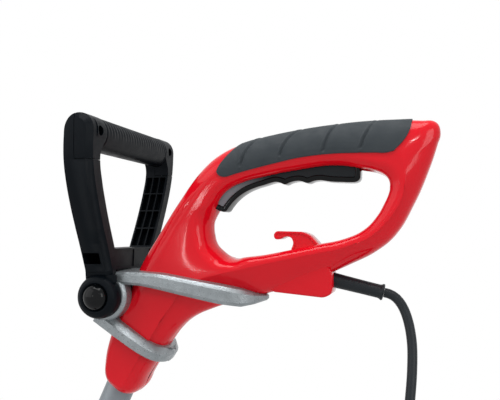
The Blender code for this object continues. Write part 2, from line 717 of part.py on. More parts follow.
def housing_half(name, side):
    solid = keep_side(housing_solid(name), side)
    shell = solid.modifiers.new("wall", "SOLIDIFY")
    shell.thickness = HOUSING_WALL * MM
    shell.offset = -1.0
    shell.use_even_offset = True
    solid = triangulated(settle(solid))
    inner = CLEARANCE / 2
    label = name + "_"
    additions = []
    for index, (x, z) in enumerate(SCREW_PLACES):
        reach = half_width(z) - HOUSING_WALL / 2
        additions.append(side_rod(f"{label}boss_{index}", x, z, BOSS_RADIUS, inner, reach, side))
    pin_reach = half_width(TRIGGER_PIVOT[1]) - HOUSING_WALL / 2
    pin_start = TRIGGER_HALF_WIDTH + SLOT_CLEARANCE + CLEARANCE
    additions.append(side_rod(label + "pin_boss", *TRIGGER_PIVOT, PIN_BOSS_RADIUS, pin_start,
                              pin_reach, side))
    shelf_end = GRIP_HALF_WIDTH - SHELF_SIDE_GAP
    seat_z = SPRING_TOP_Z + CLEARANCE
    additions.append(side_block(label + "spring_seat",
                                (SPRING_X - SPRING_SEAT_HALF_LENGTH, inner, seat_z),
                                (SPRING_X + SPRING_SEAT_HALF_LENGTH, shelf_end,
                                 seat_z + SPRING_SEAT_THICKNESS), side))
    switch_front = SWITCH_X - SWITCH_LENGTH / 2
    additions.append(side_block(label + "switch_shelf",
                                (switch_front - SWITCH_SHELF_LENGTH, inner,
                                 SWITCH_BOTTOM_Z + SWITCH_SHELF_INSET),
                                (switch_front - CLEARANCE, shelf_end,
                                 SWITCH_BOTTOM_Z + SWITCH_HEIGHT - SWITCH_SHELF_INSET), side))
    for place in SEAT_RIBS:
        rib = rod(label + f"rib_{abs(int(place))}", SOCKET_HALF_WIDTH - HOUSING_WALL / 2,
                  place - SEAT_RIB_THICKNESS / 2, place + SEAT_RIB_THICKNESS / 2, steps=8,
                  origin=(SHAFT_POINT[0], 0.0, SHAFT_POINT[1]), direction=(-SHAFT_UP[0], 0.0, -SHAFT_UP[2]))
        low, high = sorted((side * inner, side * BEYOND))
        half_space = box(label + "rib_side", (-BEYOND, low, -BEYOND), (BEYOND, high, BEYOND))
        rib = carve(rib, half_space, "INTERSECT")
        within = housing_solid(label + "rib_limit", -HOUSING_WALL / 2)
        additions.append(carve(rib, within, "INTERSECT"))
    shelf_x = CAPACITOR_PLACE[0]
    shelf_z = CAPACITOR_PLACE[1] - CAPACITOR_DEPTH / 2 - CLEARANCE
    additions.append(side_block(label + "capacitor_shelf",
                                (shelf_x - CAPACITOR_SHELF_HALF_LENGTH, inner, shelf_z - CAPACITOR_SHELF),
                                (shelf_x + CAPACITOR_SHELF_HALF_LENGTH,
                                 SOCKET_HALF_WIDTH - HOUSING_WALL / 2, shelf_z), side))
    additions.append(capped(keep_side(outlet_solid(label + "outlet"), side)))
    hook = plate(label + "hook", HOOK_OUTLINE, HOOK_HALF_WIDTH, HOOK_ROUNDING, detail=1)
    additions.append(capped(keep_side(hook, side)))
    for addition in additions:
        solid = carve(solid, addition, "UNION")
    cuts = [
        shaft_rod(label + "tube_bore", TUBE_RADIUS + HOLE, -230.0, TUBE_TOP_Z + 1.0),
        grip_recess(label + "grip_recess"),
        plate(label + "trigger_slot", TRIGGER_SLOT, TRIGGER_HALF_WIDTH + SLOT_CLEARANCE,
              smooth=False, detail=1),
        side_rod(label + "pin_bore", *TRIGGER_PIVOT, TRIGGER_PIN_RADIUS + HOLE, -1.0,
                 TRIGGER_PIN_HALF_LENGTH + CLEARANCE, side),
    ]
    for index, (x, z) in enumerate(SCREW_PLACES):
        if side > 0:
            outer = half_width(z)
            cuts.append(screw_room(f"{label}screw_room_{index}", SCREW_SHANK + HOLE, SCREW_HEAD + HOLE,
                                   -1.0, outer - SCREW_SEAT_DEPTH, outer + 5.0,
                                   origin=(x, 0.0, z), direction=(0.0, 1.0, 0.0)))
        else:
            cuts.append(side_rod(f"{label}screw_bore_{index}", x, z, SCREW_SHANK + HOLE, -1.0,
                                 SCREW_REACH + 1.0, side))
    cuts += lead_cuts(label)
    for cutter in cuts:
        solid = carve(solid, cutter)
    return part(solid, name, RED_PLASTIC)


SLEEVE_DIRECTION = (math.cos(math.radians(SLEEVE_SLOPE)), 0.0, math.sin(math.radians(SLEEVE_SLOPE)))


def lead_height(x):
    """The height of the lead's axis inside the housing."""
    return SLEEVE_START[1] + (x - SLEEVE_START[0]) * math.tan(math.radians(SLEEVE_SLOPE))


def sleeve_rod(name, radius, start, end, steps=24):
    """A round bar on the lead sleeve's axis, from start to end along it."""
    return rod(name, radius, start, end, steps=steps, origin=(SLEEVE_START[0], 0.0, SLEEVE_START[1]),
               direction=SLEEVE_DIRECTION)


def lead_cuts(label):
    """The sleeve's hole, the room for its collar and the pocket for the lead and clamp."""
    return [
        sleeve_rod(label + "sleeve_bore", SLEEVE_RADIUS + HOLE, -8.0, 12.0),
        sleeve_rod(label + "collar_room", SLEEVE_COLLAR_RADIUS + HOLE,
                   -2.5 - SLEEVE_COLLAR_LENGTH - 2 * CLEARANCE, -2.5),
        sleeve_rod(label + "lead_room", LEAD_RADIUS + HOLE,
                   -8.0 - INNER_LEAD_LENGTH, -4.0),
        box(label + "clamp_room", (CLAMP_X - CLAMP_LENGTH / 2 - CLEARANCE, -CLAMP_HALF_WIDTH - CLEARANCE,
                                   CLAMP_BOTTOM_Z - CLEARANCE),
            (CLAMP_X + CLAMP_LENGTH / 2 + CLEARANCE, CLAMP_HALF_WIDTH + CLEARANCE,
             lead_height(CLAMP_X) - LEAD_RADIUS / 2 + CLEARANCE)),
    ]


housing_half("housing_left", -1)
housing_half("housing_right", 1)


def housing_screws():
    for index, (x, z) in enumerate(SCREW_PLACES):
        seat = half_width(z) - SCREW_SEAT_DEPTH + CLEARANCE
        profile = [(0.0, seat + SCREW_HEAD_HEIGHT), (SCREW_HEAD * 0.8, seat + SCREW_HEAD_HEIGHT),
                   (SCREW_HEAD, seat + SCREW_HEAD_HEIGHT * 0.5), (SCREW_HEAD, seat),
                   (SCREW_SHANK, seat), (SCREW_SHANK, -SCREW_REACH), (0.0, -SCREW_REACH)]
        screw = turned("housing_screw", profile, steps=12, origin=(x, 0.0, z),
                       direction=(0.0, 1.0, 0.0))
        part(screw, f"housing_screw_{index + 1}", STEEL)


housing_screws()


# Soft grip

def soft_grip():
    region = plate("grip_region", GRIP_OUTLINE, GRIP_HALF_WIDTH + 4.0, detail=1, grow=-CLEARANCE)
    outer = housing_solid("grip_outer", GRIP_PROUD)
    core = housing_solid("grip_core", CLEARANCE - GRIP_DEPTH)
    grip = boolean(region, outer, "INTERSECT")
    boolean(grip, core)
    return part(grip, "soft_grip", SOFT_RUBBER)


soft_grip()


# Trigger, switch and return spring

def trigger():
    body = plate("trigger", TRIGGER_OUTLINE, TRIGGER_HALF_WIDTH, TRIGGER_ROUNDING, detail=1)
    hole = rod("trigger_hole", TRIGGER_PIN_RADIUS + HOLE, -20.0, 20.0, steps=20,
               origin=(TRIGGER_PIVOT[0], 0.0, TRIGGER_PIVOT[1]), direction=(0.0, 1.0, 0.0))
    body = settle(boolean(body, hole))
    return part(body, "trigger", GLOSS_BLACK, (TRIGGER_PIVOT[0], 0.0, TRIGGER_PIVOT[1]))


def trigger_pin():
    pin = rod("trigger_pin", TRIGGER_PIN_RADIUS, -TRIGGER_PIN_HALF_LENGTH, TRIGGER_PIN_HALF_LENGTH,
              steps=20, origin=(TRIGGER_PIVOT[0], 0.0, TRIGGER_PIVOT[1]), direction=(0.0, 1.0, 0.0))
    return part(pin, "trigger_pin", STEEL)


def switch():
    body = box("switch_body", (SWITCH_X - SWITCH_LENGTH / 2, -SWITCH_HALF_WIDTH, SWITCH_BOTTOM_Z),
               (SWITCH_X + SWITCH_LENGTH / 2, SWITCH_HALF_WIDTH, SWITCH_BOTTOM_Z + SWITCH_HEIGHT),
               rounding=0.8)
    room = PLUNGER_HALF + CLEARANCE
    plunger_bottom = TRIGGER_TOP_AT_SWITCH + CLEARANCE
    plunger_top = plunger_bottom + PLUNGER_HEIGHT
    well = box("plunger_well", (SWITCH_X - room, -room, SWITCH_BOTTOM_Z - 1.0),
               (SWITCH_X + room, room, plunger_top + PLUNGER_TRAVEL + CLEARANCE))
    part(boolean(body, well), "switch_body", BLACK_PLASTIC)
    plunger = box("switch_plunger", (SWITCH_X - PLUNGER_HALF, -PLUNGER_HALF, plunger_bottom),
                  (SWITCH_X + PLUNGER_HALF, PLUNGER_HALF, plunger_top), rounding=0.4)
    part(plunger, "switch_plunger", WHITE_PLASTIC, (SWITCH_X, 0.0, plunger_bottom))


trigger()
trigger_pin()
switch()
part(coil("trigger_spring", SPRING_RADIUS, SPRING_WIRE, SPRING_BOTTOM_Z, SPRING_TOP_Z, SPRING_TURNS,
          (SPRING_X, 0.0, 0.0)), "trigger_spring", STEEL)


# Capacitor and wiring in the neck

def capacitor():
    x, z = CAPACITOR_PLACE
    can = box("capacitor", (x - CAPACITOR_LENGTH / 2, -CAPACITOR_HALF_WIDTH, z - CAPACITOR_DEPTH / 2),
              (x + CAPACITOR_LENGTH / 2, CAPACITOR_HALF_WIDTH, z + CAPACITOR_DEPTH / 2), rounding=1.5)
    return part(can, "capacitor", BLUE_FILM)


capacitor()


# Lead, sleeve, clamp and plug

def along_sleeve(distance):
    return Vector((SLEEVE_START[0], 0.0, SLEEVE_START[1])) + Vector(SLEEVE_DIRECTION) * distance


def lead_sleeve():
    """The bend relief, moulded in one with the end of the lead that lies in the housing."""
    collar_in = -2.5 - CLEARANCE
    profile = [
        (0.0, SLEEVE_LENGTH), (SLEEVE_LIP_RADIUS, SLEEVE_LENGTH),
        (SLEEVE_LIP_RADIUS, SLEEVE_LENGTH - SLEEVE_LIP_LENGTH),
        (SLEEVE_END_RADIUS, SLEEVE_LENGTH - SLEEVE_LIP_LENGTH - 0.6), (SLEEVE_RADIUS, 3.0),
        (SLEEVE_RADIUS, collar_in), (SLEEVE_COLLAR_RADIUS, collar_in),
        (SLEEVE_COLLAR_RADIUS, collar_in - SLEEVE_COLLAR_LENGTH),
        (LEAD_RADIUS, collar_in - SLEEVE_COLLAR_LENGTH),
        (LEAD_RADIUS, collar_in - SLEEVE_COLLAR_LENGTH - INNER_LEAD_LENGTH),
        (0.0, collar_in - SLEEVE_COLLAR_LENGTH - INNER_LEAD_LENGTH),
    ]
    sleeve = turned("lead_sleeve", profile, steps=24, origin=along_sleeve(0.0), direction=SLEEVE_DIRECTION)
    return part(sleeve, "lead_sleeve", LEAD_PLASTIC)


def lead_clamp():
    """A plate that holds the lead down in the outlet block."""
    clamp = box("lead_clamp", (CLAMP_X - CLAMP_LENGTH / 2, -CLAMP_HALF_WIDTH, CLAMP_BOTTOM_Z),
                (CLAMP_X + CLAMP_LENGTH / 2, CLAMP_HALF_WIDTH, lead_height(CLAMP_X) - LEAD_RADIUS / 2),
                rounding=0.6)
    bore = sleeve_rod("clamp_bore", LEAD_RADIUS + HOLE, -60.0, 10.0)
    return part(boolean(clamp, bore), "lead_clamp", WHITE_PLASTIC)


def power_lead():
    start = along_sleeve(SLEEVE_LENGTH + CLEARANCE)
    bend = along_sleeve(SLEEVE_LENGTH + CLEARANCE + LEAD_STRAIGHT)
    points = smooth_points([bend] + LEAD_ROUTE, LEAD_SPACING * 2 * LEAD_RADIUS)
    return part(tube("power_lead", [start] + points, LEAD_RADIUS, detail=1), "power_lead",
                LEAD_PLASTIC)


def plug():
    end = Vector(LEAD_ROUTE[-1])
    top = end.z - CLEARANCE
    profile = [(0.0, 0.0), (PLUG_NECK_RADIUS, 0.0), (PLUG_NECK_RADIUS + 1.0, -14.0),
               (PLUG_RADIUS * 0.8, -22.0), (PLUG_RADIUS, -30.0), (PLUG_RADIUS, -PLUG_LENGTH + 1.5),
               (PLUG_RADIUS - 1.5, -PLUG_LENGTH), (0.0, -PLUG_LENGTH)]
    body = turned("plug_body", profile, steps=24, origin=(end.x, end.y, top))
    part(body, "plug_body", LEAD_PLASTIC)
    for name, side in (("left", -1), ("right", 1)):
        pin = [(0.0, 0.0), (PIN_RADIUS, 0.0), (PIN_RADIUS, -PIN_LENGTH + 1.5),
               (PIN_RADIUS * 0.5, -PIN_LENGTH), (0.0, -PIN_LENGTH)]
        blade = turned("pin", pin, steps=12, origin=(end.x, end.y + side * PIN_SPACING / 2,
                                                     top - PLUG_LENGTH - CLEARANCE))
        part(blade, f"plug_pin_{name}", BRASS)


lead_sleeve()
lead_clamp()
power_lead()
plug()


# Shaft

def shaft():
    length = (TUBE_TOP_Z - TUBE_BOTTOM_Z) / SHAFT_UP[2]
    tube_body = ring("shaft_tube", TUBE_RADIUS - TUBE_WALL, TUBE_RADIUS, 0.0, length, steps=24,
                     origin=(shaft_x(TUBE_BOTTOM_Z), 0.0, TUBE_BOTTOM_Z), direction=SHAFT_UP)
    part(tube_body, "shaft_tube", GREY_TUBE)
    cable_bottom = TUBE_BOTTOM_Z - CABLE_DROP
    cable = shaft_rod("shaft_cable", CABLE_RADIUS, cable_bottom, SWITCH_END_OF_CABLE_Z, steps=12)
    part(cable, "shaft_cable", LEAD_PLASTIC)


shaft()


# Cast bracket

def strap(name, half_outline, tip, half_height):
    """A flat plate from a loop outline of (x, y) points, half_height thick to both sides of Z = 0."""
    data = bpy.data.curves.new(name, "CURVE")
    data.dimensions = "2D"
    data.fill_mode = "BOTH"
    data.resolution_u = 2
    data.extrude = (half_height - STRAP_ROUNDING) * MM
    data.bevel_depth = STRAP_ROUNDING * MM
    data.bevel_resolution = 0
    data.offset = -STRAP_ROUNDING * MM
    outline = mirrored_outline(half_outline, tip)
    spline = data.splines.new("BEZIER")
    spline.bezier_points.add(len(outline) - 1)
    for index, (point, (x, y)) in enumerate(zip(spline.bezier_points, outline)):
        point.co = (x * MM, y * MM, 0.0)
        corner = index in (0, len(outline) - 1)
        point.handle_left_type = "VECTOR" if corner else "AUTO"
        point.handle_right_type = "VECTOR" if corner else "AUTO"
    spline.use_cyclic_u = True
    obj = bpy.data.objects.new(name, data)
    PARTS.objects.link(obj)
    return curve_mesh(obj)


def upper_strap():
    """The long strap that runs from the pivot past the neck and tapers to a nose under it."""
    half_height = max(half for _, _, half in UPPER_STRAP_LINE)
    flat = strap("upper_strap", UPPER_STRAP_HALF_OUTLINE, UPPER_STRAP_TIP, half_height)

    def lay(x, y, height):
        line = UPPER_STRAP_LINE
        x_in = min(max(x, line[0][0]), line[-1][0])
        for (x_a, z_a, half_a), (x_b, z_b, half_b) in zip(line, line[1:]):
            if x_in <= x_b:
                break
        share = (x_in - x_a) / (x_b - x_a)
        half = half_a + (half_b - half_a) * share
        return x, y, z_a + (z_b - z_a) * share + height * half / half_height

    return triangulated(reshape(flat, lay))


def lower_strap():
    """The short strap that slopes down from the pivot and closes behind the socket."""
    flat = strap("lower_strap", LOWER_STRAP_HALF_OUTLINE, LOWER_STRAP_TIP, LOWER_STRAP_HALF_HEIGHT)
    start_x, start_z = LOWER_STRAP_START
    flat.data.transform(Matrix.Translation(Vector((start_x, 0.0, start_z)) * MM) @ Matrix.Rotation(
        math.radians(-LOWER_STRAP_SLOPE), 4, "Y"))
    return flat


def bracket():
    body = carve(upper_strap(), lower_strap(), "UNION")
    middle = rod("bracket_bar", BRACKET_BAR_RADIUS, -BOSS_FACE + 4.0, BOSS_FACE - 4.0, steps=20,
                 origin=(PIVOT[0], 0.0, PIVOT[1]), direction=(0.0, 1.0, 0.0))
    body = carve(body, middle, "UNION")
    for side in (-1, 1):
        boss = turned(f"bracket_boss_{side}", [
            (0.0, BOSS_FACE), (BRACKET_BOSS_RADIUS - 1.5, BOSS_FACE),
            (BRACKET_BOSS_RADIUS, BOSS_FACE - 1.5), (BRACKET_BOSS_RADIUS, BRACKET_BOSS_INNER),
            (0.0, BRACKET_BOSS_INNER)], steps=28, origin=(PIVOT[0], 0.0, PIVOT[1]),
            direction=(0.0, side, 0.0))
        body = carve(body, boss, "UNION")
    body = carve(body, housing_solid("bracket_room", HOLE))
    body = carve(body, outlet_solid("bracket_outlet_room", HOLE))
    axle_hole = rod("axle_hole", AXLE_RADIUS + HOLE, -60.0, 60.0, steps=20,
                    origin=(PIVOT[0], 0.0, PIVOT[1]), direction=(0.0, 1.0, 0.0))
    body = carve(body, axle_hole)
    return part(body, "handle_bracket", CAST_SILVER)


bracket()


# Front handle

def front_loop(name, outline, hole, half_depth, rounding):
    """The handle's front outline of (y, z) points, thick along X about the pivot."""
    loop = plate(name, outline, half_depth, rounding, hole, detail=1)
    turn = Matrix.Translation(Vector((PIVOT[0], 0.0, 0.0)) * MM) @ Matrix.Rotation(
        math.radians(90), 4, "Z")
    loop.data.transform(turn)
    bm = bmesh.new()
    bm.from_mesh(loop.data)
    bmesh.ops.recalc_face_normals(bm, faces=bm.faces)
    bm.to_mesh(loop.data)
    bm.free()
    return loop


def handle_outline():
    """The outer outline, from one hub over the top to the other and back under the crossbar."""
    right = list(HANDLE_OUTLINE_HALF)
    left = [(-y, z) for y, z in reversed(HANDLE_OUTLINE_HALF)]
    feet = [(-HANDLE_INNER, -93.0), (-HANDLE_INNER, CROSSBAR_BOTTOM_Z),
            (HANDLE_INNER, CROSSBAR_BOTTOM_Z), (HANDLE_INNER, -93.0)]
    return right + left + feet


def handle_solid():
    gap = mirrored_outline([(z, y) for y, z in HANDLE_GAP_HALF])
    gap = [(y, z) for z, y in gap]
    loop = front_loop("handle_loop", handle_outline(), gap, HANDLE_DEPTH / 2, HANDLE_ROUNDING)
    half = BAR_HALF_LENGTH
    bar = turned("handle_bar", [(0.0, half), (BAR_RADIUS - BAR_END_ROUNDING, half),
                                (BAR_RADIUS - 1.2, half - 1.2), (BAR_RADIUS, half - BAR_END_ROUNDING),
                                (BAR_RADIUS, BAR_END_ROUNDING - half),
                                (BAR_RADIUS - 1.2, 1.2 - half),
                                (BAR_RADIUS - BAR_END_ROUNDING, -half), (0.0, -half)],
                 steps=20, direction=(0.0, 1.0, 0.0))
    bar = settle(bar)
    reshape(bar, lambda x, y, z: (x * BAR_FLATTENING + PIVOT[0], y, z + BAR_CENTRE_Z))
    body = boolean(loop, bar, "UNION")
    body = settle(body)
    return reshape(body, lambda x, y, z: (x + HANDLE_LEAN * (z - PIVOT[1]), y, z))


def handle_hub(name, side, radius_change=0.0):
    return turned(name, [
        (0.0, HUB_OUTER), (HUB_FACE_RADIUS, HUB_OUTER), (HUB_RADIUS - 1.4, HUB_OUTER - 3.4),
        (HUB_RADIUS + radius_change, HUB_OUTER - 6.4), (HUB_RADIUS + radius_change, HANDLE_INNER),
        (0.0, HANDLE_INNER)], steps=24, origin=(PIVOT[0], 0.0, PIVOT[1]), direction=(0.0, side, 0.0))


def cover_region(name, grow):
    return box(name, (COVER_FRONT_X - grow, -90.0, COVER_BOTTOM_Z - grow), (-100.0, 90.0, 60.0))


def rib_pockets():
    """The ribbed channel in the inner side of each arm."""
    pockets = []
    top_z, bottom_z = RIB_CHANNEL
    rows, columns = RIB_POCKETS
    wall = RIB_THICKNESS
    width = (HANDLE_DEPTH - 2 * RIB_CHANNEL_EDGE - (columns - 1) * wall) / columns
    height = (top_z - bottom_z - (rows - 1) * wall) / rows
    for side in (-1, 1):
        for row in range(rows):
            high = top_z - row * (height + wall)
            low = high - height
            for column in range(columns):
                left = PIVOT[0] - HANDLE_DEPTH / 2 + RIB_CHANNEL_EDGE + column * (width + wall)
                bm = bmesh.new()
                bmesh.ops.create_cube(bm, size=1.0)
                for vertex in bm.verts:
                    z = high if vertex.co.z > 0 else low
                    inner = arm_inner(z)
                    y = inner + RIB_POCKET_DEPTH if vertex.co.y > 0 else inner - 6.0
                    x = left + (width if vertex.co.x > 0 else 0.0)
                    x += HANDLE_LEAN * (z - PIVOT[1])
                    vertex.co = Vector((x, side * y, z)) * MM
                pockets.append(mesh_object(f"pocket_{side}_{row}_{column}", bm))
    return pockets


def arm_inner(z):
    """Half the width of the gap between the arms at a height."""
    points = sorted((height, y) for y, height in HANDLE_GAP_HALF if height < -5.0)
    for (low, y_low), (high, y_high) in zip(points, points[1:]):
        if z <= high:
            return y_low + (y_high - y_low) * (z - low) / (high - low)
    return points[-1][1]


def front_handle():
    whole = handle_solid()
    twin = whole.copy()
    twin.data = whole.data.copy()
    PARTS.objects.link(twin)
    origin = (PIVOT[0], 0.0, PIVOT[1])
    frame = whole
    for side in (-1, 1):
        boolean(frame, handle_hub(f"hub_{side}", side), "UNION")
    boolean(frame, cover_region("cover_region_frame", 0.0))
    boolean(frame, join("rib_pockets", rib_pockets()))
    for side in (-1, 1):
        well = rod(f"button_well_{side}", BUTTON_RADIUS + HOLE, BUTTON_INNER - BUTTON_TRAVEL - CLEARANCE,
                   60.0, origin=origin, direction=(0.0, side, 0.0))
        boolean(frame, well)
        nut_room = rod(f"nut_room_{side}", NUT_RADIUS + HOLE, 20.0, 60.0, origin=origin,
                       direction=(0.0, side, 0.0), steps=24)
        boolean(frame, nut_room)
    for index, y in enumerate(HANDLE_SCREW_PLACES):
        boolean(frame, rod(f"frame_screw_bore_{index}", HANDLE_SCREW_SHANK + HOLE,
                           HANDLE_SCREW_END_X - 1.0, -130.0, steps=12,
                           origin=(0.0, y, HANDLE_SCREW_Z), direction=(1.0, 0.0, 0.0)))
    part(settle(frame), "front_handle_frame", BLACK_PLASTIC, origin)
    cover = boolean(twin, cover_region("cover_region_cover", -CLEARANCE), "INTERSECT")
    for index, y in enumerate(HANDLE_SCREW_PLACES):
        boolean(cover, screw_room(f"cover_screw_room_{index}", HANDLE_SCREW_SHANK + HOLE,
                                  HANDLE_SCREW_HEAD + HOLE, -170.0, HANDLE_SCREW_HEAD_X, -120.0,
                                  origin=(0.0, y, HANDLE_SCREW_Z), direction=(1.0, 0.0, 0.0)))
    part(settle(cover), "front_handle_cover", BLACK_PLASTIC, origin)
    for name, y in zip(("left", "right"), HANDLE_SCREW_PLACES):
        seat = HANDLE_SCREW_HEAD_X + CLEARANCE
        screw = turned("handle_screw", [
            (0.0, seat + 2.2), (HANDLE_SCREW_HEAD * 0.8, seat + 2.2), (HANDLE_SCREW_HEAD, seat + 1.0),
            (HANDLE_SCREW_HEAD, seat), (HANDLE_SCREW_SHANK, seat),
            (HANDLE_SCREW_SHANK, HANDLE_SCREW_END_X), (0.0, HANDLE_SCREW_END_X)], steps=12,
            origin=(0.0, y, HANDLE_SCREW_Z), direction=(1.0, 0.0, 0.0))
        part(settle(screw), f"handle_screw_{name}", STEEL, origin)


front_handle()


# Pivot axle, release buttons and their springs

def pivot_hardware():
    origin = (PIVOT[0], 0.0, PIVOT[1])
    nut_inner = BOSS_FACE + CLEARANCE
    profile = [(0.0, AXLE_END + 1.6), (NUT_RADIUS, AXLE_END + 1.6), (NUT_RADIUS, nut_inner),
               (AXLE_RADIUS, nut_inner), (AXLE_RADIUS, -nut_inner), (NUT_RADIUS, -nut_inner),
               (NUT_RADIUS, -AXLE_END - 1.6), (0.0, -AXLE_END - 1.6)]
    part(turned("pivot_axle", profile, steps=24, origin=origin, direction=(0.0, 1.0, 0.0)),
         "pivot_axle", STEEL)
    names = {-1: "left", 1: "right"}
    for side in (-1, 1):
        button = turned(f"button_{side}", [
            (0.0, BUTTON_DOME), (BUTTON_RADIUS * 0.45, BUTTON_DOME - 0.5),
            (BUTTON_RADIUS * 0.8, BUTTON_DOME - 2.0), (BUTTON_RADIUS, BUTTON_DOME - 4.4),
            (BUTTON_RADIUS, BUTTON_INNER), (BUTTON_BORE_RADIUS, BUTTON_INNER),
            (BUTTON_BORE_RADIUS, BUTTON_DOME - 5.5), (0.0, BUTTON_DOME - 5.5)], steps=24,
            origin=origin, direction=(0.0, side, 0.0))
        part(settle(button), f"release_button_{names[side]}", GLOSS_BLACK,
             (PIVOT[0], side * BUTTON_INNER, PIVOT[1]))
        spring_start = AXLE_END + 1.6 + CLEARANCE
        part(coil(f"button_spring_{side}", BUTTON_SPRING_RADIUS - 0.4, BUTTON_SPRING_WIRE, spring_start,
                  BUTTON_DOME - 5.5 - BUTTON_TRAVEL - 2 * CLEARANCE, BUTTON_SPRING_TURNS, origin,
                  (0.0, side, 0.0)), f"button_spring_{names[side]}", STEEL)


pivot_hardware()


# Cutting head

def head(name, profile, steps=24, closed=False):
    return turned(name, profile, steps=steps, origin=(HEAD_X, 0.0, FLOOR_Z), closed=closed)


def head_ring(name, inner, outer, bottom, top, steps=MOTOR_STEPS):
    return ring(name, inner, outer, bottom, top, steps=steps, origin=(HEAD_X, 0.0, FLOOR_Z))


def bump_knob():
    knob = head("bump_knob", [
        (0.0, KNOB_STEM_TOP), (KNOB_STEM_RADIUS, KNOB_STEM_TOP), (KNOB_STEM_RADIUS, KNOB_TOP),
        (KNOB_RADIUS, KNOB_TOP), (KNOB_RADIUS, 6.0), (KNOB_RADIUS - 1.6, 2.0), (KNOB_RADIUS - 5.0, 0.0),
        (0.0, 0.0)])
    return part(knob, "bump_knob", BLACK_PLASTIC)


def spool_parts():
    cover = head("spool_cover", [
        (COVER_OUTER, COVER_TOP), (COVER_OUTER, COVER_BASE + 2.0), (COVER_OUTER - 2.0, COVER_BASE),
        (KNOB_RADIUS + HOLE, COVER_BASE), (KNOB_RADIUS + HOLE, COVER_BASE + COVER_FLOOR),
        (SPOOL_HOUSING_OUTER + CLEARANCE, COVER_BASE + COVER_FLOOR),
        (SPOOL_HOUSING_OUTER + CLEARANCE, COVER_TOP)], closed=True)
    part(cover, "spool_cover", BLACK_PLASTIC)
    inner = SPOOL_HOUSING_OUTER - SPOOL_HOUSING_WALL
    top = SPOOL_HOUSING_TOP
    shell = head("spool_housing", [
        (SPOOL_HOUSING_OUTER - 4.0, top), (SPOOL_HOUSING_OUTER, top - 4.0),
        (SPOOL_HOUSING_OUTER, COVER_BASE + COVER_FLOOR + CLEARANCE),
        (inner, COVER_BASE + COVER_FLOOR + CLEARANCE), (inner, top - 4.6),
        (inner - 2.0, top - SPOOL_HOUSING_WALL), (MOTOR_SHAFT_RADIUS + HOLE, top - SPOOL_HOUSING_WALL),
        (MOTOR_SHAFT_RADIUS + HOLE, top)], closed=True)
    for side in (-1, 1):
        hole = rod(f"eyelet_hole_{side}", EYELET_RADIUS + HOLE, 25.0, 60.0, steps=16,
                   origin=(HEAD_X, 0.0, FLOOR_Z + LINE_HEIGHT), direction=(0.0, side, 0.0))
        boolean(shell, hole)
    part(shell, "spool_housing", BLACK_PLASTIC)
    spool = head("spool", [
        (SPOOL_RADIUS, SPOOL_TOP), (SPOOL_RADIUS, SPOOL_TOP - SPOOL_FLANGE),
        (SPOOL_CORE, SPOOL_TOP - SPOOL_FLANGE), (SPOOL_CORE, SPOOL_BOTTOM + SPOOL_FLANGE),
        (SPOOL_RADIUS, SPOOL_BOTTOM + SPOOL_FLANGE), (SPOOL_RADIUS, SPOOL_BOTTOM),
        (SPOOL_BORE, SPOOL_BOTTOM), (SPOOL_BORE, SPOOL_TOP)], closed=True)
    part(spool, "spool", WHITE_PLASTIC)
    part(head_ring("line_winding", SPOOL_CORE + HOLE, WINDING_RADIUS,
                   SPOOL_BOTTOM + SPOOL_FLANGE + CLEARANCE, SPOOL_TOP - SPOOL_FLANGE - CLEARANCE,
                   steps=24),
         "line_winding", NYLON)
    for name, side in (("left", -1), ("right", 1)):
        start = SPOOL_HOUSING_OUTER - SPOOL_HOUSING_WALL - 1.0
        outer = SPOOL_HOUSING_OUTER + CLEARANCE
        eyelet = turned("eyelet", [
            (EYELET_FLANGE, outer + 1.6), (EYELET_FLANGE, outer), (EYELET_RADIUS, outer),
            (EYELET_RADIUS, start), (EYELET_BORE, start), (EYELET_BORE, outer + 1.6)], steps=16,
            closed=True, origin=(HEAD_X, 0.0, FLOOR_Z + LINE_HEIGHT), direction=(0.0, side, 0.0))
        part(eyelet, f"line_eyelet_{name}", STEEL)
        line = rod("line", LINE_RADIUS, WINDING_RADIUS + CLEARANCE, LINE_REACH, steps=8,
                   origin=(HEAD_X, 0.0, FLOOR_Z + LINE_HEIGHT), direction=(0.0, side, 0.0))
        part(line, f"cutting_line_{name}", NYLON)
    nut_top = top - SPOOL_HOUSING_WALL - CLEARANCE
    nut = rod("head_nut", HEAD_NUT_RADIUS, nut_top - HEAD_NUT_HEIGHT, nut_top, steps=6,
              origin=(HEAD_X, 0.0, FLOOR_Z))
    boolean(nut, rod("nut_bore", MOTOR_SHAFT_RADIUS + HOLE, 0.0, 80.0, origin=(HEAD_X, 0.0, FLOOR_Z)))
    part(nut, "head_nut", STEEL)
    part(coil("knob_spring", KNOB_SPRING_RADIUS, KNOB_SPRING_WIRE, KNOB_STEM_TOP + CLEARANCE, nut_top,
              KNOB_SPRING_TURNS, (HEAD_X, 0.0, FLOOR_Z)), "knob_spring", STEEL)


bump_knob()
spool_parts()


# Motor

BASE_BOTTOM = GUARD_BOTTOM + GUARD_THICKNESS + CLEARANCE
BASE_TOP = BASE_BOTTOM + BASE_HEIGHT


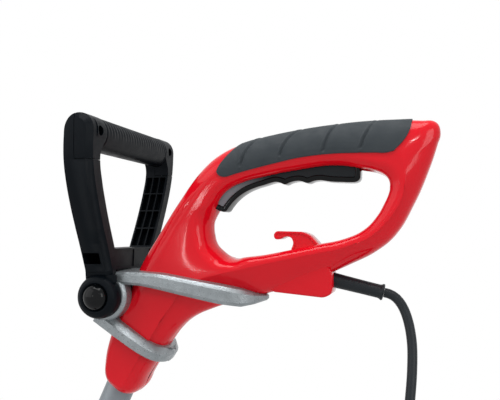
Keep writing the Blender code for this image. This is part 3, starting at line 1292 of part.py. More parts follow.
def motor_base():
    """The round plate under the motor, with a seat for the lower bearing."""
    outer_seat = LOWER_BEARING[1] + HOLE
    plate_body = head("motor_base", [
        (BASE_RADIUS - MOTOR_WALL - CLEARANCE, BASE_TOP + 4.0),
        (BASE_RADIUS - MOTOR_WALL - CLEARANCE, BASE_TOP), (BASE_RADIUS, BASE_TOP),
        (BASE_RADIUS, BASE_BOTTOM + 1.0), (BASE_RADIUS - 1.0, BASE_BOTTOM),
        (MOTOR_SHAFT_RADIUS + 1.0, BASE_BOTTOM), (MOTOR_SHAFT_RADIUS + 1.0, BASE_TOP - 1.5),
        (outer_seat, BASE_TOP - 1.5), (outer_seat, BASE_TOP + 5.0), (outer_seat + 2.5, BASE_TOP + 5.0),
        (outer_seat + 2.5, BASE_TOP), (BASE_RADIUS - MOTOR_WALL - 3.0, BASE_TOP),
        (BASE_RADIUS - MOTOR_WALL - 3.0, BASE_TOP + 4.0)], closed=True)
    for index, (x, y) in enumerate(GUARD_SCREW_PLACES):
        boolean(plate_body, rod(f"base_screw_hole_{index}", SCREW_SHANK + HOLE, BASE_BOTTOM - 2.0,
                                BASE_TOP + 8.0, steps=12, origin=(HEAD_X + x, y, FLOOR_Z)))
    return part(plate_body, "motor_base", BLACK_PLASTIC)


def bell_profile(inset):
    """The motor housing's outer outline as (radius, height), top to bottom, drawn in by inset."""
    outline = [(share * BASE_RADIUS, height) for share, height in BELL_SHAPE]
    points = []
    for index, (radius, height) in enumerate(outline):
        if radius == 0.0:
            points.append((0.0, height - inset))
        else:
            before = outline[max(index - 1, 0)]
            after = outline[min(index + 1, len(outline) - 1)]
            along = Vector((after[0] - before[0], after[1] - before[1])).normalized()
            points.append((radius + along.y * inset, height - along.x * inset))
    return points


def motor_housing(name, side):
    outer = bell_profile(0.0) + [(BASE_RADIUS, BASE_TOP + CLEARANCE)]
    inner = bell_profile(MOTOR_WALL) + [(BASE_RADIUS - MOTOR_WALL, BASE_TOP - 10.0), (0.0, BASE_TOP - 10.0)]
    shell = head(name, outer + [(0.0, BASE_TOP + CLEARANCE)])
    collar = shaft_rod(name + "_collar", COLLAR_FOOT_RADIUS, COLLAR_FOOT_Z, COLLAR_TOP_Z,
                       top_radius=COLLAR_RADIUS)
    shell = carve(shell, collar, "UNION")
    shell = carve(shell, head(name + "_cavity", inner))
    seat_bottom = MOTOR_SHAFT_TOP - 8.0
    seat = head_ring(name + "_bearing_seat", UPPER_BEARING[1] + HOLE, UPPER_BEARING[1] + 3.0,
                     seat_bottom, SHAFT_SEAT_TOP, steps=24)
    shell = carve(shell, seat, "UNION")
    shell = carve(shell, shaft_rod(name + "_bore", TUBE_RADIUS + HOLE, TUBE_BOTTOM_Z - CLEARANCE,
                                   COLLAR_TOP_Z + 10.0))
    shell = carve(shell, shaft_rod(name + "_cable_bore", CABLE_RADIUS + HOLE, CABLE_BORE_BOTTOM_Z,
                                   TUBE_BOTTOM_Z + 5.0, steps=12))
    vents = []
    for index in range(VENT_COUNT):
        angle = math.radians(180.0 * (index + 0.5) / VENT_COUNT)
        for height_low, height_high in VENT_HEIGHTS:
            slot = box(f"{name}_vent_{index}_{int(height_low)}", (25.0, -2.0, height_low),
                       (60.0, 2.0, height_high))
            slot.data.transform(Matrix.Translation(Vector((HEAD_X, 0.0, FLOOR_Z)) * MM)
                                @ Matrix.Rotation(side * angle, 4, "Z"))
            vents.append(slot)
    shell = carve(shell, join(name + "_vents", vents))
    edge = CLEARANCE / 2
    low, high = sorted((side * edge, side * BEYOND))
    half = box(name + "_half", (HEAD_X - BEYOND, low, FLOOR_Z), (HEAD_X + BEYOND, high, FLOOR_Z + BEYOND))
    return part(carve(shell, half, "INTERSECT"), name, RED_PLASTIC)


def motor_inside():
    bore, outer, width = LOWER_BEARING
    part(head_ring("lower_bearing", bore, outer, BASE_TOP - 1.5 + CLEARANCE,
                   BASE_TOP - 1.5 + CLEARANCE + width, steps=MOTOR_STEPS), "lower_bearing", STEEL)
    bore, outer, width = UPPER_BEARING
    upper_bottom = MOTOR_SHAFT_TOP - 2.0 - width
    part(head_ring("upper_bearing", bore, outer, upper_bottom, upper_bottom + width, steps=MOTOR_STEPS),
         "upper_bearing", STEEL)
    part(head("motor_shaft", [(0.0, MOTOR_SHAFT_TOP), (MOTOR_SHAFT_RADIUS, MOTOR_SHAFT_TOP),
                              (MOTOR_SHAFT_RADIUS, MOTOR_SHAFT_BOTTOM), (0.0, MOTOR_SHAFT_BOTTOM)],
              steps=MOTOR_STEPS), "motor_shaft", STEEL)
    shaft_fit = MOTOR_SHAFT_RADIUS + HOLE
    fan_bottom = BASE_TOP + 8.0
    fan = head_ring("fan", shaft_fit, FAN_RADIUS, fan_bottom, fan_bottom + 1.6)
    for index in range(FAN_BLADES):
        blade = box(f"fan_blade_{index}", (7.0, -0.7, fan_bottom + 1.0), (FAN_RADIUS - 1.0, 0.7,
                                                                       fan_bottom + 7.0))
        blade.data.transform(Matrix.Translation(Vector((HEAD_X, 0.0, FLOOR_Z)) * MM)
                             @ Matrix.Rotation(2 * math.pi * index / FAN_BLADES, 4, "Z"))
        boolean(fan, blade, "UNION")
    part(fan, "cooling_fan", WHITE_PLASTIC)
    stator = head_ring("stator", STATOR_INNER, STATOR_OUTER, STATOR_BOTTOM, STATOR_TOP, steps=MOTOR_STEPS)
    coil_inner = STATOR_INNER + 1.5
    coil_outer = STATOR_OUTER - 2.0
    low_end = STATOR_BOTTOM - CLEARANCE
    high_end = STATOR_TOP + CLEARANCE
    coils = head_ring("field_coils", coil_inner, coil_outer, low_end - COIL_HEIGHT, low_end)
    upper = head_ring("coil_upper", coil_inner, coil_outer, high_end, high_end + COIL_HEIGHT)
    boolean(coils, upper, "UNION")
    for side in (-1, 1):
        for grow, body, action in ((0.0, coils, "UNION"), (CLEARANCE, stator, "DIFFERENCE")):
            low = (coil_inner + 1.0 - grow) * side
            high = (coil_outer - 1.0 + grow) * side
            bar = box(f"coil_bar_{side}", (min(low, high), -COIL_BAR_HALF_WIDTH - grow,
                                           STATOR_BOTTOM - COIL_HEIGHT / 2),
                      (max(low, high), COIL_BAR_HALF_WIDTH + grow, STATOR_TOP + COIL_HEIGHT / 2))
            bar.data.transform(Matrix.Translation(Vector((HEAD_X, 0.0, FLOOR_Z)) * MM))
            boolean(body, bar, action)
    part(stator, "stator", STEEL)
    part(coils, "field_coils", COPPER)
    rotor = head("rotor", [
        (11.0, STATOR_TOP + 6.0), (15.0, STATOR_TOP + 4.0), (15.0, STATOR_TOP), (ROTOR_RADIUS, STATOR_TOP),
        (ROTOR_RADIUS, STATOR_BOTTOM), (15.0, STATOR_BOTTOM), (15.0, STATOR_BOTTOM - 4.0),
        (11.0, STATOR_BOTTOM - 6.0), (shaft_fit, STATOR_BOTTOM - 6.0), (shaft_fit, STATOR_TOP + 6.0)],
        steps=MOTOR_STEPS, closed=True)
    part(rotor, "rotor", COPPER)
    commutator_bottom = STATOR_TOP + 6.0 + CLEARANCE
    part(head_ring("commutator", shaft_fit, COMMUTATOR_RADIUS, commutator_bottom,
                   commutator_bottom + COMMUTATOR_HEIGHT, steps=MOTOR_STEPS), "commutator", BRASS)
    middle = commutator_bottom + BRUSH_HEIGHT
    half = BRUSH_HALF_WIDTH
    carrier = head_ring("brush_carrier", CARRIER_INNER, CARRIER_OUTER, middle - half - 2.0,
                        middle - half - 0.6)
    for name, side in (("left", -1), ("right", 1)):
        place = Matrix.Translation(Vector((HEAD_X, 0.0, FLOOR_Z)) * MM) @ Matrix.Rotation(
            math.radians(90 * side), 4, "Z")
        brush = box("brush", (COMMUTATOR_RADIUS + CLEARANCE, -half, middle - half),
                    (CARRIER_OUTER - 5.0, half, middle + half))
        brush.data.transform(place)
        part(brush, f"carbon_brush_{name}", CARBON)
        holder = box(f"holder_{name}", (CARRIER_INNER, -half - 1.6, middle - half - 1.6),
                     (CARRIER_OUTER, half + 1.6, middle + half + 1.6))
        room = half + CLEARANCE
        hollow = box(f"holder_room_{name}", (CARRIER_INNER - 4.0, -room, middle - room),
                     (CARRIER_OUTER - 4.0, room, middle + room))
        for shape, action in ((holder, "UNION"), (hollow, "DIFFERENCE")):
            shape.data.transform(place)
            carrier = carve(carrier, shape, action)
    part(carrier, "brush_carrier", BRASS)


motor_base()
motor_housing("motor_housing_left", -1)
motor_housing("motor_housing_right", 1)
motor_inside()


# Guard and line cutter

def sector(name, profile, half_angle, steps):
    """A closed profile of (radius, height) swept through an arc about the head's axis."""
    bm = bmesh.new()
    start = Matrix.Rotation(math.radians(-half_angle), 4, "Z")
    corners = [bm.verts.new(start @ Vector((radius * MM, 0.0, height * MM))) for radius, height in profile]
    face = bm.faces.new(corners)
    bmesh.ops.spin(bm, geom=[face] + face.edges[:] + face.verts[:], cent=(0.0, 0.0, 0.0),
                   axis=(0.0, 0.0, 1.0), angle=math.radians(2 * half_angle), steps=steps,
                   use_duplicate=False)
    place = Matrix.Translation(Vector((HEAD_X, 0.0, FLOOR_Z)) * MM)
    return mesh_object(name, bm, place)


def guard():
    top = GUARD_BOTTOM + GUARD_THICKNESS
    body = sector("guard", [
        (GUARD_INNER, top), (GUARD_INNER, GUARD_BOTTOM), (GUARD_RADIUS - GUARD_THICKNESS, GUARD_BOTTOM),
        (GUARD_RADIUS - GUARD_THICKNESS, GUARD_SKIRT_BOTTOM), (GUARD_RADIUS, GUARD_SKIRT_BOTTOM),
        (GUARD_RADIUS, top)], GUARD_HALF_ANGLE, GUARD_STEPS)
    for index, (x, y) in enumerate(GUARD_SCREW_PLACES):
        boolean(body, rod(f"guard_screw_hole_{index}", SCREW_SHANK + HOLE, GUARD_BOTTOM - 5.0, top + 5.0,
                          steps=12, origin=(HEAD_X + x, y, FLOOR_Z)))
    part(settle(body), "guard", BLACK_PLASTIC)
    for name, (x, y) in zip(("left", "right"), GUARD_SCREW_PLACES):
        seat = GUARD_BOTTOM - CLEARANCE
        screw = turned("guard_screw", [
            (0.0, BASE_TOP - 1.0), (SCREW_SHANK, BASE_TOP - 1.0), (SCREW_SHANK, seat), (SCREW_HEAD, seat),
            (SCREW_HEAD, seat - 1.6), (0.0, seat - 1.6)], steps=12, origin=(HEAD_X + x, y, FLOOR_Z))
        part(screw, f"guard_screw_{name}", STEEL)


def line_cutter():
    skirt_inner = GUARD_RADIUS - GUARD_THICKNESS
    outer = skirt_inner * math.cos(math.asin(BLADE_LENGTH / 2 / skirt_inner)) - CLEARANCE - 0.4
    blade = box("line_cutter", (outer - BLADE_THICKNESS, -BLADE_LENGTH / 2, GUARD_SKIRT_BOTTOM + 1.0),
                (outer, BLADE_LENGTH / 2, GUARD_SKIRT_BOTTOM + 1.0 + BLADE_WIDTH))
    blade.data.transform(Matrix.Translation(Vector((HEAD_X, 0.0, FLOOR_Z)) * MM)
                         @ Matrix.Rotation(math.radians(BLADE_ANGLE), 4, "Z"))
    return part(blade, "line_cutter", STEEL)


guard()
line_cutter()
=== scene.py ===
# Electric string trimmer: the visible pieces, their finishes, the camera and the light.
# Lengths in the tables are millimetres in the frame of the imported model.

import json
from math import copysign, cos, exp, pi, radians, sin, tau

import bmesh
import bpy
from mathutils import Matrix, Vector
from mathutils.bvhtree import BVHTree


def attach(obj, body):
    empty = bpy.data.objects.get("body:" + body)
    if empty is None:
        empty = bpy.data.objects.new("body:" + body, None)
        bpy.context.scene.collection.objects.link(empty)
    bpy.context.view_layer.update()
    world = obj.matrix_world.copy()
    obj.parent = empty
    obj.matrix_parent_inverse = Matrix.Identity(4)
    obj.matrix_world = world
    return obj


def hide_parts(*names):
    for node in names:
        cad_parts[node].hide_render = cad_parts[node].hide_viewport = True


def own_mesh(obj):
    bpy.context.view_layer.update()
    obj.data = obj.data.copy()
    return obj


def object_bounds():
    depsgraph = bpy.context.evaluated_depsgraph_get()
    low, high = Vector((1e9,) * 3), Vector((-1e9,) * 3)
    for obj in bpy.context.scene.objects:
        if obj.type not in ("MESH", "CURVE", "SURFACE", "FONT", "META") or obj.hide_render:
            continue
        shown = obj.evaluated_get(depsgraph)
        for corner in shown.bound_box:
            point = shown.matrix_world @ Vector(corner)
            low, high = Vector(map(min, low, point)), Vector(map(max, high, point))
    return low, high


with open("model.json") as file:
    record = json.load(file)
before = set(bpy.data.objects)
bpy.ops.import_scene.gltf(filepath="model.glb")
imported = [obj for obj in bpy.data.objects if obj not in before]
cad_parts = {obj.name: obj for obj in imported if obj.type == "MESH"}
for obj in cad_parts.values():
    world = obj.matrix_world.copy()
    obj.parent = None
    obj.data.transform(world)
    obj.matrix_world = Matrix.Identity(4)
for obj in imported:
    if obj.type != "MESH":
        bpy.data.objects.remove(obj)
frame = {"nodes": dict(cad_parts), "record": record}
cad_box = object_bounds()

MM = 0.001
scene = bpy.context.scene
scene.view_settings.view_transform = "Standard"
nodes = frame["nodes"]
UPRIGHT, CROSSWISE = (0.0, 0.0, 1.0), (0.0, 1.0, 0.0)
SIDES = (("left", -1), ("right", 1))


# Camera

CAMERA_PLACE = Vector((0.0754, -0.4598, -0.0594))
CAMERA_RIGHT = Vector((0.9657, 0.2596, 0.0))
CAMERA_UP = Vector((0.0131, -0.0489, 0.9987))
CAMERA_FORWARD = Vector((-0.2593, 0.9645, 0.0507))
CAMERA_LENS, CAMERA_SENSOR = 46.8, 36.0


def put(name, data):
    """Add an object for a mesh, curve, light or camera."""
    made = bpy.data.objects.new(name, data)
    scene.collection.objects.link(made)
    return made


def add_camera():
    data = bpy.data.cameras.new("camera")
    data.lens = CAMERA_LENS
    data.sensor_width = CAMERA_SENSOR
    data.sensor_fit = "HORIZONTAL"
    data.clip_start = 0.01
    camera = put("camera", data)
    turn = Matrix((CAMERA_RIGHT, CAMERA_UP, -CAMERA_FORWARD)).transposed()
    camera.matrix_world = Matrix.Translation(CAMERA_PLACE) @ turn.to_4x4()
    scene.camera = camera


add_camera()


# Finishes

def linear(red, green, blue):
    """A colour from its 0 to 255 screen values."""
    return tuple(((c / 255 + 0.055) / 1.055) ** 2.4 if c > 10 else c / 255 / 12.92
                 for c in (red, green, blue)) + (1.0,)


def feed(tree, node, inputs):
    """Fill a shader node's inputs: a socket is linked, anything else is set."""
    for key, value in inputs.items():
        if isinstance(value, bpy.types.NodeSocket):
            tree.links.new(value, node.inputs[key])
        else:
            node.inputs[key].default_value = value
    return node


def add_node(tree, kind, inputs=None, **settings):
    """Add a shader node with its settings and inputs."""
    node = tree.nodes.new("ShaderNode" + kind)
    for key, value in settings.items():
        setattr(node, key, value)
    return feed(tree, node, inputs or {})


FINISH_OF_SLOT = {}


def finish(name, colour, roughness, metallic=0.0, grain=0.3, grain_size=0.6, shade=0.08,
           blotch_size=18.0, stretch=(1.0, 1.0, 1.0), specular=0.5, rough_spread=0.12):
    """A moulded or cast finish: fine grain in the surface, slow drift in colour and gloss."""
    made = bpy.data.materials.new(name)
    made.use_nodes = True
    tree = made.node_tree
    place = add_node(tree, "TexCoord").outputs["Object"]
    spread = add_node(tree, "Mapping", {"Vector": place, "Scale": stretch}).outputs["Vector"]

    def noise(size_mm, detail):
        return add_node(tree, "TexNoise", {"Vector": spread, "Scale": 1000.0 / size_mm,
                                           "Detail": detail}).outputs["Fac"]

    dark, light = (tuple(min(1.0, c * (1.0 + change)) for c in colour[:3]) + (1.0,)
                   for change in (-shade, shade))
    tint = add_node(tree, "Mix", {"Factor": noise(blotch_size, 4.0), "A": dark, "B": light}, data_type="RGBA")
    gloss = add_node(tree, "MapRange", {
        "Value": noise(blotch_size * 0.4, 6.0), "From Min": 0.3, "From Max": 0.7,
        "To Min": roughness * (1.0 - rough_spread), "To Max": roughness * (1.0 + rough_spread)})
    bump = add_node(tree, "Bump", {"Strength": grain, "Distance": 0.0002, "Height": noise(grain_size, 3.0)})
    feed(tree, tree.nodes["Principled BSDF"], {
        "Base Color": tint.outputs["Result"], "Roughness": gloss.outputs["Result"],
        "Normal": bump.outputs["Normal"], "Metallic": metallic, "Specular IOR Level": specular})
    FINISH_OF_SLOT[name] = made
    return made


finish("red_plastic", linear(223, 13, 31), 0.10, grain=0.05, grain_size=2.4, shade=0.05, specular=0.22)
finish("soft_rubber", linear(45, 51, 55), 0.66, grain=0.55, grain_size=0.35, shade=0.12, specular=0.3)
finish("black_plastic", linear(9, 14, 19), 0.42, grain=0.35, grain_size=0.45, shade=0.10, specular=0.07)
SATIN_WITH_PAINTED_REFLECTION = finish("satin_black", linear(20, 25, 29), 0.34, grain=0.15, grain_size=0.6, shade=0.10, specular=0.2)
finish("gloss_black", linear(7, 9, 11), 0.11, grain=0.02, grain_size=1.2, shade=0.06, specular=0.16)
finish("cast_silver", linear(141, 147, 150), 0.32, metallic=0.6, grain=1.0, grain_size=0.8, shade=0.26,
        blotch_size=5.0, rough_spread=0.3)
finish("grey_tube", linear(128, 135, 140), 0.38, metallic=0.35, grain=0.12, grain_size=0.8, shade=0.05)
finish("steel", linear(190, 190, 192), 0.28, metallic=1.0, grain=0.25, grain_size=0.5, shade=0.10,
        stretch=(1.0, 1.0, 0.15))
finish("copper", linear(196, 112, 66), 0.32, metallic=1.0, grain=0.9, grain_size=0.7, shade=0.15,
        stretch=(1.0, 1.0, 4.0))
finish("brass", linear(206, 170, 98), 0.27, metallic=1.0, grain=0.2, grain_size=0.6)
finish("carbon", linear(46, 46, 48), 0.6, grain=0.7, grain_size=0.4, shade=0.2)
finish("lead_plastic", linear(26, 31, 35), 0.42, grain=0.25, grain_size=0.7, shade=0.10, specular=0.22)
finish("nylon", linear(206, 202, 178), 0.35, grain=0.2, grain_size=0.8, shade=0.06)
finish("white_plastic", linear(222, 221, 216), 0.4, grain=0.2, grain_size=0.6, shade=0.05)
finish("blue_film", linear(48, 84, 150), 0.3, grain=0.15, grain_size=0.8, shade=0.06)


def painted_reflection_to_front(made, rear, front, colour):
    """Fade a finish to a paler colour, a painted reflection, between two places along X, given in metres."""
    tree = made.node_tree
    shader = tree.nodes["Principled BSDF"]
    tint = shader.inputs["Base Color"].links[0].from_socket
    place = add_node(tree, "TexCoord").outputs["Object"]
    split = add_node(tree, "SeparateXYZ", {"Vector": place}).outputs["X"]
    ramp = add_node(tree, "MapRange", {"Value": split, "From Min": rear, "From Max": front},
                    interpolation_type="SMOOTHSTEP").outputs["Result"]
    blend = add_node(tree, "Mix", {"Factor": ramp, "A": tint, "B": colour}, data_type="RGBA")
    feed(tree, shader, {"Base Color": blend.outputs["Result"]})


# The trigger blade is painted paler towards its front: a painted reflection, not a colour of its own.
painted_reflection_to_front(SATIN_WITH_PAINTED_REFLECTION, -0.028, -0.064, linear(134, 138, 143))

for row in frame["record"]["subparts"]:
    shown = nodes[row["node"]]
    shown.data.materials.clear()
    shown.data.materials.append(FINISH_OF_SLOT[row["material_slot"]])


# Modelling helpers

WELD = 0.000002
SHARP = 38.0
FINE_EDGE = 0.35
# the share of a chord that makes a curve's handles run evenly
AUTO_HANDLE = 2.5614


def weld(bm, reach=WELD):
    bmesh.ops.remove_doubles(bm, verts=bm.verts[:], dist=reach)


def outward(bm):
    bmesh.ops.recalc_face_normals(bm, faces=bm.faces[:])
    return bm


def as_mesh(name, bm):
    data = bpy.data.meshes.new(name)
    bm.to_mesh(data)
    bm.free()
    return data


def settle(name, bm, slot, body="trimmer_body", node=None, sharp=SHARP, turn=True):
    """Make a finished piece of a bmesh in metres, with its slot, finish, body and the node it replaces."""
    weld(bm)
    bmesh.ops.dissolve_degenerate(bm, edges=bm.edges[:], dist=WELD / 2)
    data = as_mesh(name, outward(bm) if turn else bm)
    data.shade_smooth()
    data.set_sharp_from_angle(angle=radians(sharp))
    data.materials.append(FINISH_OF_SLOT[slot])
    piece = put(name, data)
    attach(piece, body)
    if node:
        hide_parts(node)
    return piece


def bevelled(piece, width, angle=40.0):
    """Round a piece's sharper edges by a width in millimetres."""
    soften = piece.modifiers.new("soft_edge", "BEVEL")
    soften.width = width * MM
    soften.segments = 2
    soften.limit_method = "ANGLE"
    soften.angle_limit = radians(angle)


def carve(piece, cutter, operation="DIFFERENCE"):
    """Take one closed shape out of a piece, or keep what they share, and drop the cutter."""
    change = piece.modifiers.new("carve", "BOOLEAN")
    change.operation = operation
    change.object = cutter
    change.solver = "MANIFOLD"
    bpy.context.view_layer.update()
    cut = bpy.data.meshes.new_from_object(piece.evaluated_get(bpy.context.evaluated_depsgraph_get()))
    piece.modifiers.clear()
    old = piece.data
    piece.data = cut
    cut.name = piece.name
    bpy.data.meshes.remove(old)
    bpy.data.objects.remove(cutter, do_unlink=True)
    cut.shade_smooth()
    cut.set_sharp_from_angle(angle=radians(SHARP))


def loose(name, bm):
    """A plain mesh object that only cuts another piece."""
    return put(name, as_mesh(name, outward(bm)))


def sheet(columns, rows, rule):
    """A grid bent by a rule that gives each (column, row) its place in millimetres."""
    bm = bmesh.new()
    bmesh.ops.create_grid(bm, x_segments=columns, y_segments=rows, size=1.0)
    for vertex in bm.verts:
        column = round((vertex.co.x + 1.0) / 2.0 * columns)
        row = round((vertex.co.y + 1.0) / 2.0 * rows)
        vertex.co = Vector(rule(column, row)) * MM
    return bm


def capped(bm):
    """Close the open ends of a swept form."""
    weld(bm)
    bmesh.ops.holes_fill(bm, edges=[edge for edge in bm.edges if edge.is_boundary], sides=0)
    return bm


def turned(profile, steps, origin, direction=UPRIGHT, closed=False):
    """Spin a profile of (radius, height) about an axis that starts at origin."""
    bm = bmesh.new()
    corners = [bm.verts.new((radius * MM, 0.0, height * MM)) for radius, height in profile]
    edges = [bm.edges.new(pair) for pair in zip(corners, corners[1:])]
    if closed:
        edges.append(bm.edges.new((corners[-1], corners[0])))
    bmesh.ops.spin(bm, geom=corners + edges, cent=(0.0, 0.0, 0.0), axis=UPRIGHT, angle=tau,
                   steps=steps, use_merge=True)
    weld(bm)
    lay = Vector(UPRIGHT).rotation_difference(Vector(direction)).to_matrix().to_4x4()
    bmesh.ops.transform(bm, matrix=Matrix.Translation(Vector(origin) * MM) @ lay, verts=bm.verts[:])
    return outward(bm)


def rod(radius, low, high):
    """The profile of a plain round rod between two heights."""
    return [(0.0, low), (radius, low), (radius, high), (0.0, high)]


def prism(corners, reach):
    """A closed form from a flat ring of points in millimetres, pushed by a vector."""
    bm = bmesh.new()
    face = bm.faces.new([bm.verts.new(Vector(corner) * MM) for corner in corners])
    moved = bmesh.ops.extrude_face_region(bm, geom=[face])
    far = [item for item in moved["geom"] if isinstance(item, bmesh.types.BMVert)]
    bmesh.ops.translate(bm, vec=Vector(reach) * MM, verts=far)
    return outward(bm)


def rounded(profile, radius, steps=4, closed=False):
    """Round the corners of a profile of points by short arcs of about the radius."""
    made = []
    count = len(profile)
    for index, point in enumerate(profile):
        if not closed and index in (0, count - 1):
            made.append(point)
            continue
        here = Vector(point)
        back = Vector(profile[index - 1]) - here
        ahead = Vector(profile[(index + 1) % count]) - here
        reach = min(radius, back.length * 0.45, ahead.length * 0.45)
        start = here + back.normalized() * reach
        end = here + ahead.normalized() * reach
        for step in range(steps + 1):
            t = step / steps
            made.append(tuple(start * (1 - t) ** 2 + here * 2 * t * (1 - t) + end * t * t))
    return made


def merged(*parts):
    """Join bmeshes that stay separate closed shapes in one piece."""
    whole = bmesh.new()
    for bm in parts:
        data = as_mesh("joined", bm)
        whole.from_mesh(data)
        bpy.data.meshes.remove(data)
    return whole


def block(low, high, soft=0.0):
    """A box between two corners, with rounded edges."""
    bm = bmesh.new()
    bmesh.ops.create_cube(bm, size=1.0)
    size = [(b - a) * MM for a, b in zip(low, high)]
    middle = [(a + b) / 2 * MM for a, b in zip(low, high)]
    bmesh.ops.scale(bm, vec=size, verts=bm.verts[:])
    bmesh.ops.translate(bm, vec=middle, verts=bm.verts[:])
    if soft:
        bmesh.ops.bevel(bm, geom=bm.edges[:], offset=soft * MM, segments=2, profile=0.5, affect="EDGES",
                        material=-1)
    return bm


def clamp(value):
    return min(max(value, 0.0), 1.0)


def ease(share):
    """Ease a share of the way in and out."""
    return share * share * (3 - 2 * share)


def bezier(a, b, c, d, t):
    """A point of the curve from a to d that heads for b first and comes from c."""
    return a * (1 - t) ** 3 + b * 3 * t * (1 - t) ** 2 + c * 3 * t * t * (1 - t) + d * t ** 3


def through(a, b, c, d, t):
    """A share of the way from b to c on a smooth curve through four values."""
    return 0.5 * (2 * b + (c - a) * t + (2 * a - 5 * b + 4 * c - d) * t * t
                  + (3 * b - a - 3 * c + d) * t ** 3)


def smooth_loop(points, steps, closed=True):
    """Evenly stepped points on a smooth curve through a list of flat points."""
    knots = [Vector(point) for point in points]
    count = len(knots)
    handles = []
    for index, here in enumerate(knots):
        before = knots[index - 1] if closed or index else here * 2 - knots[1]
        after = knots[(index + 1) % count] if closed or index < count - 1 else here * 2 - knots[-2]
        back, ahead = (here - before).length, (after - here).length
        heading = ((after - here) / ahead + (here - before) / back).normalized()
        handles.append((here - heading * back / AUTO_HANDLE, here + heading * ahead / AUTO_HANDLE))
    made = []
    for index in range(count if closed else count - 1):
        after = (index + 1) % count
        made += [bezier(knots[index], handles[index][1], handles[after][0], knots[after], step / steps)
                 for step in range(steps)]
    return made if closed else made + [knots[-1]]


def heading_at(line, index):
    """The direction of an open line at one of its points."""
    return (line[min(index + 1, len(line) - 1)] - line[max(index - 1, 0)]).normalized()


def smooth_values(values, steps):
    """Smoothly interpolate a closed list of numbers."""
    count = len(values)
    return [through(*(values[(index + shift) % count] for shift in (-1, 0, 1, 2)), step / steps)
            for index in range(count) for step in range(steps)]


def run_lengths(points):
    """The length run along a line at each of its points."""
    lengths = [0.0]
    for start, end in zip(points, points[1:]):
        lengths.append(lengths[-1] + (end - start).length)
    return lengths


def along_line(points, share):
    """The point at a share of a line's length."""
    lengths = run_lengths(points)
    wanted = lengths[-1] * share
    for index, (low, high) in enumerate(zip(lengths, lengths[1:])):
        if wanted <= high + 1e-9:
            return points[index].lerp(points[index + 1], (wanted - low) / (high - low))
    return points[-1]


def between(table, x):
    """Read a value from a table of (x, value) pairs by straight lines."""
    if x <= table[0][0]:
        return table[0][1]
    for (x_a, a), (x_b, b) in zip(table, table[1:]):
        if x <= x_b:
            return a + (b - a) * (x - x_a) / (x_b - x_a)
    return table[-1][1]


# Mains lead, its sleeve and plug

LEAD_RADIUS = 3.3
SLEEVE_START = Vector((12.9, 0.0, -92.4))
SLEEVE_SLOPE = radians(-13.0)
SLEEVE_ALONG = Vector((cos(SLEEVE_SLOPE), 0.0, sin(SLEEVE_SLOPE)))
SLEEVE_LENGTH = 35.5
GAP = 0.3
LEAD_STRAIGHT = 3.0
LEAD_ROUTE = [
    (55.2, -0.8, -103.4), (59.6, -2.4, -108.6), (62.9, -4.8, -116.0),
    (65.2, -8.0, -125.6), (66.3, -12.0, -137.0), (65.9, -19.0, -153.0), (64.2, -26.0, -172.0),
    (62.0, -31.0, -196.0), (60.4, -33.6, -224.0), (59.6, -34.6, -256.0), (59.4, -35.0, -290.0),
    (59.4, -35.0, -325.0), (59.4, -35.0, -352.0),
]
PLUG_LENGTH = 44.0


def lead_points(spacing):
    """Evenly spaced points of the lead's middle line, as in the source of the part."""
    route = [SLEEVE_START + SLEEVE_ALONG * (SLEEVE_LENGTH + GAP + LEAD_STRAIGHT)]
    route += [Vector(point) for point in LEAD_ROUTE]
    knots = [route[0] * 2 - route[1], *route, route[-1] * 2 - route[-2]]
    fine = [through(*four, step / 20) for four in zip(knots, knots[1:], knots[2:], knots[3:])
            for step in range(20)] + [route[-1]]
    count = round(run_lengths(fine)[-1] / spacing)
    return [SLEEVE_START + SLEEVE_ALONG * (SLEEVE_LENGTH + GAP)] + [
        along_line(fine, index / count) for index in range(count + 1)]


def add_lead():
    points = lead_points(3.0)
    data = bpy.data.curves.new("mains_lead", "CURVE")
    data.dimensions = "3D"
    data.bevel_depth = LEAD_RADIUS * MM
    data.bevel_resolution = 7
    data.use_fill_caps = True
    spline = data.splines.new("POLY")
    spline.points.add(len(points) - 1)
    for knot, point in zip(spline.points, points):
        knot.co = (*(point * MM), 1.0)
    spline.use_smooth = True
    data.materials.append(FINISH_OF_SLOT["lead_plastic"])
    lead = put("mains_lead", data)
    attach(lead, "trimmer_body")
    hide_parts("power_lead")
    return lead, points


def add_plug():
    end = Vector(LEAD_ROUTE[-1])
    profile = [(0.0, 0.0), (3.4, 0.0), (5.4, 0.0), (6.0, -0.6)]
    for groove in range(4):
        start = -2.4 - groove * 3.0
        profile += [(6.1, start + 0.6), (5.0, start), (5.0, start - 0.9), (6.2 + 0.2 * groove, start - 1.5)]
    profile += [(7.2, -14.0), (9.0, -16.5), (13.4, -21.0), (16.6, -25.5), (18.0, -30.0),
                (18.0, -PLUG_LENGTH + 1.5), (17.4, -PLUG_LENGTH + 0.4), (16.3, -PLUG_LENGTH),
                (0.0, -PLUG_LENGTH)]
    return settle("lead_plug", turned(profile, 56, (end.x, end.y, end.z - GAP)), "lead_plastic",
                  node="plug_body")


lead, lead_line = add_lead()
lead_plug = add_plug()

lip = SLEEVE_LENGTH
sleeve_profile = [
    (0.0, lip), (4.6, lip), (5.3, lip - 0.2), (5.7, lip - 0.6), (5.7, lip - 1.4), (5.4, lip - 1.8),
    (5.0, lip - 2.5), (4.75, lip - 3.4), (4.8, 22.0), (5.0, 10.0), (5.15, 3.0), (5.2, -6.0), (0.0, -6.0),
]
settle("lead_bend_sleeve", turned(sleeve_profile, 56, SLEEVE_START, SLEEVE_ALONG), "lead_plastic",
       node="lead_sleeve", sharp=50.0)


# Rear handle housing: a ring of stations, each with its outer edge, crease and loop edge

def half_width(z):
    """Half the housing's width at a height: 17 mm at the grip, 20 mm at the socket."""
    return 17.0 + 3.0 * ease(clamp((-50.0 - z) / 65.0))


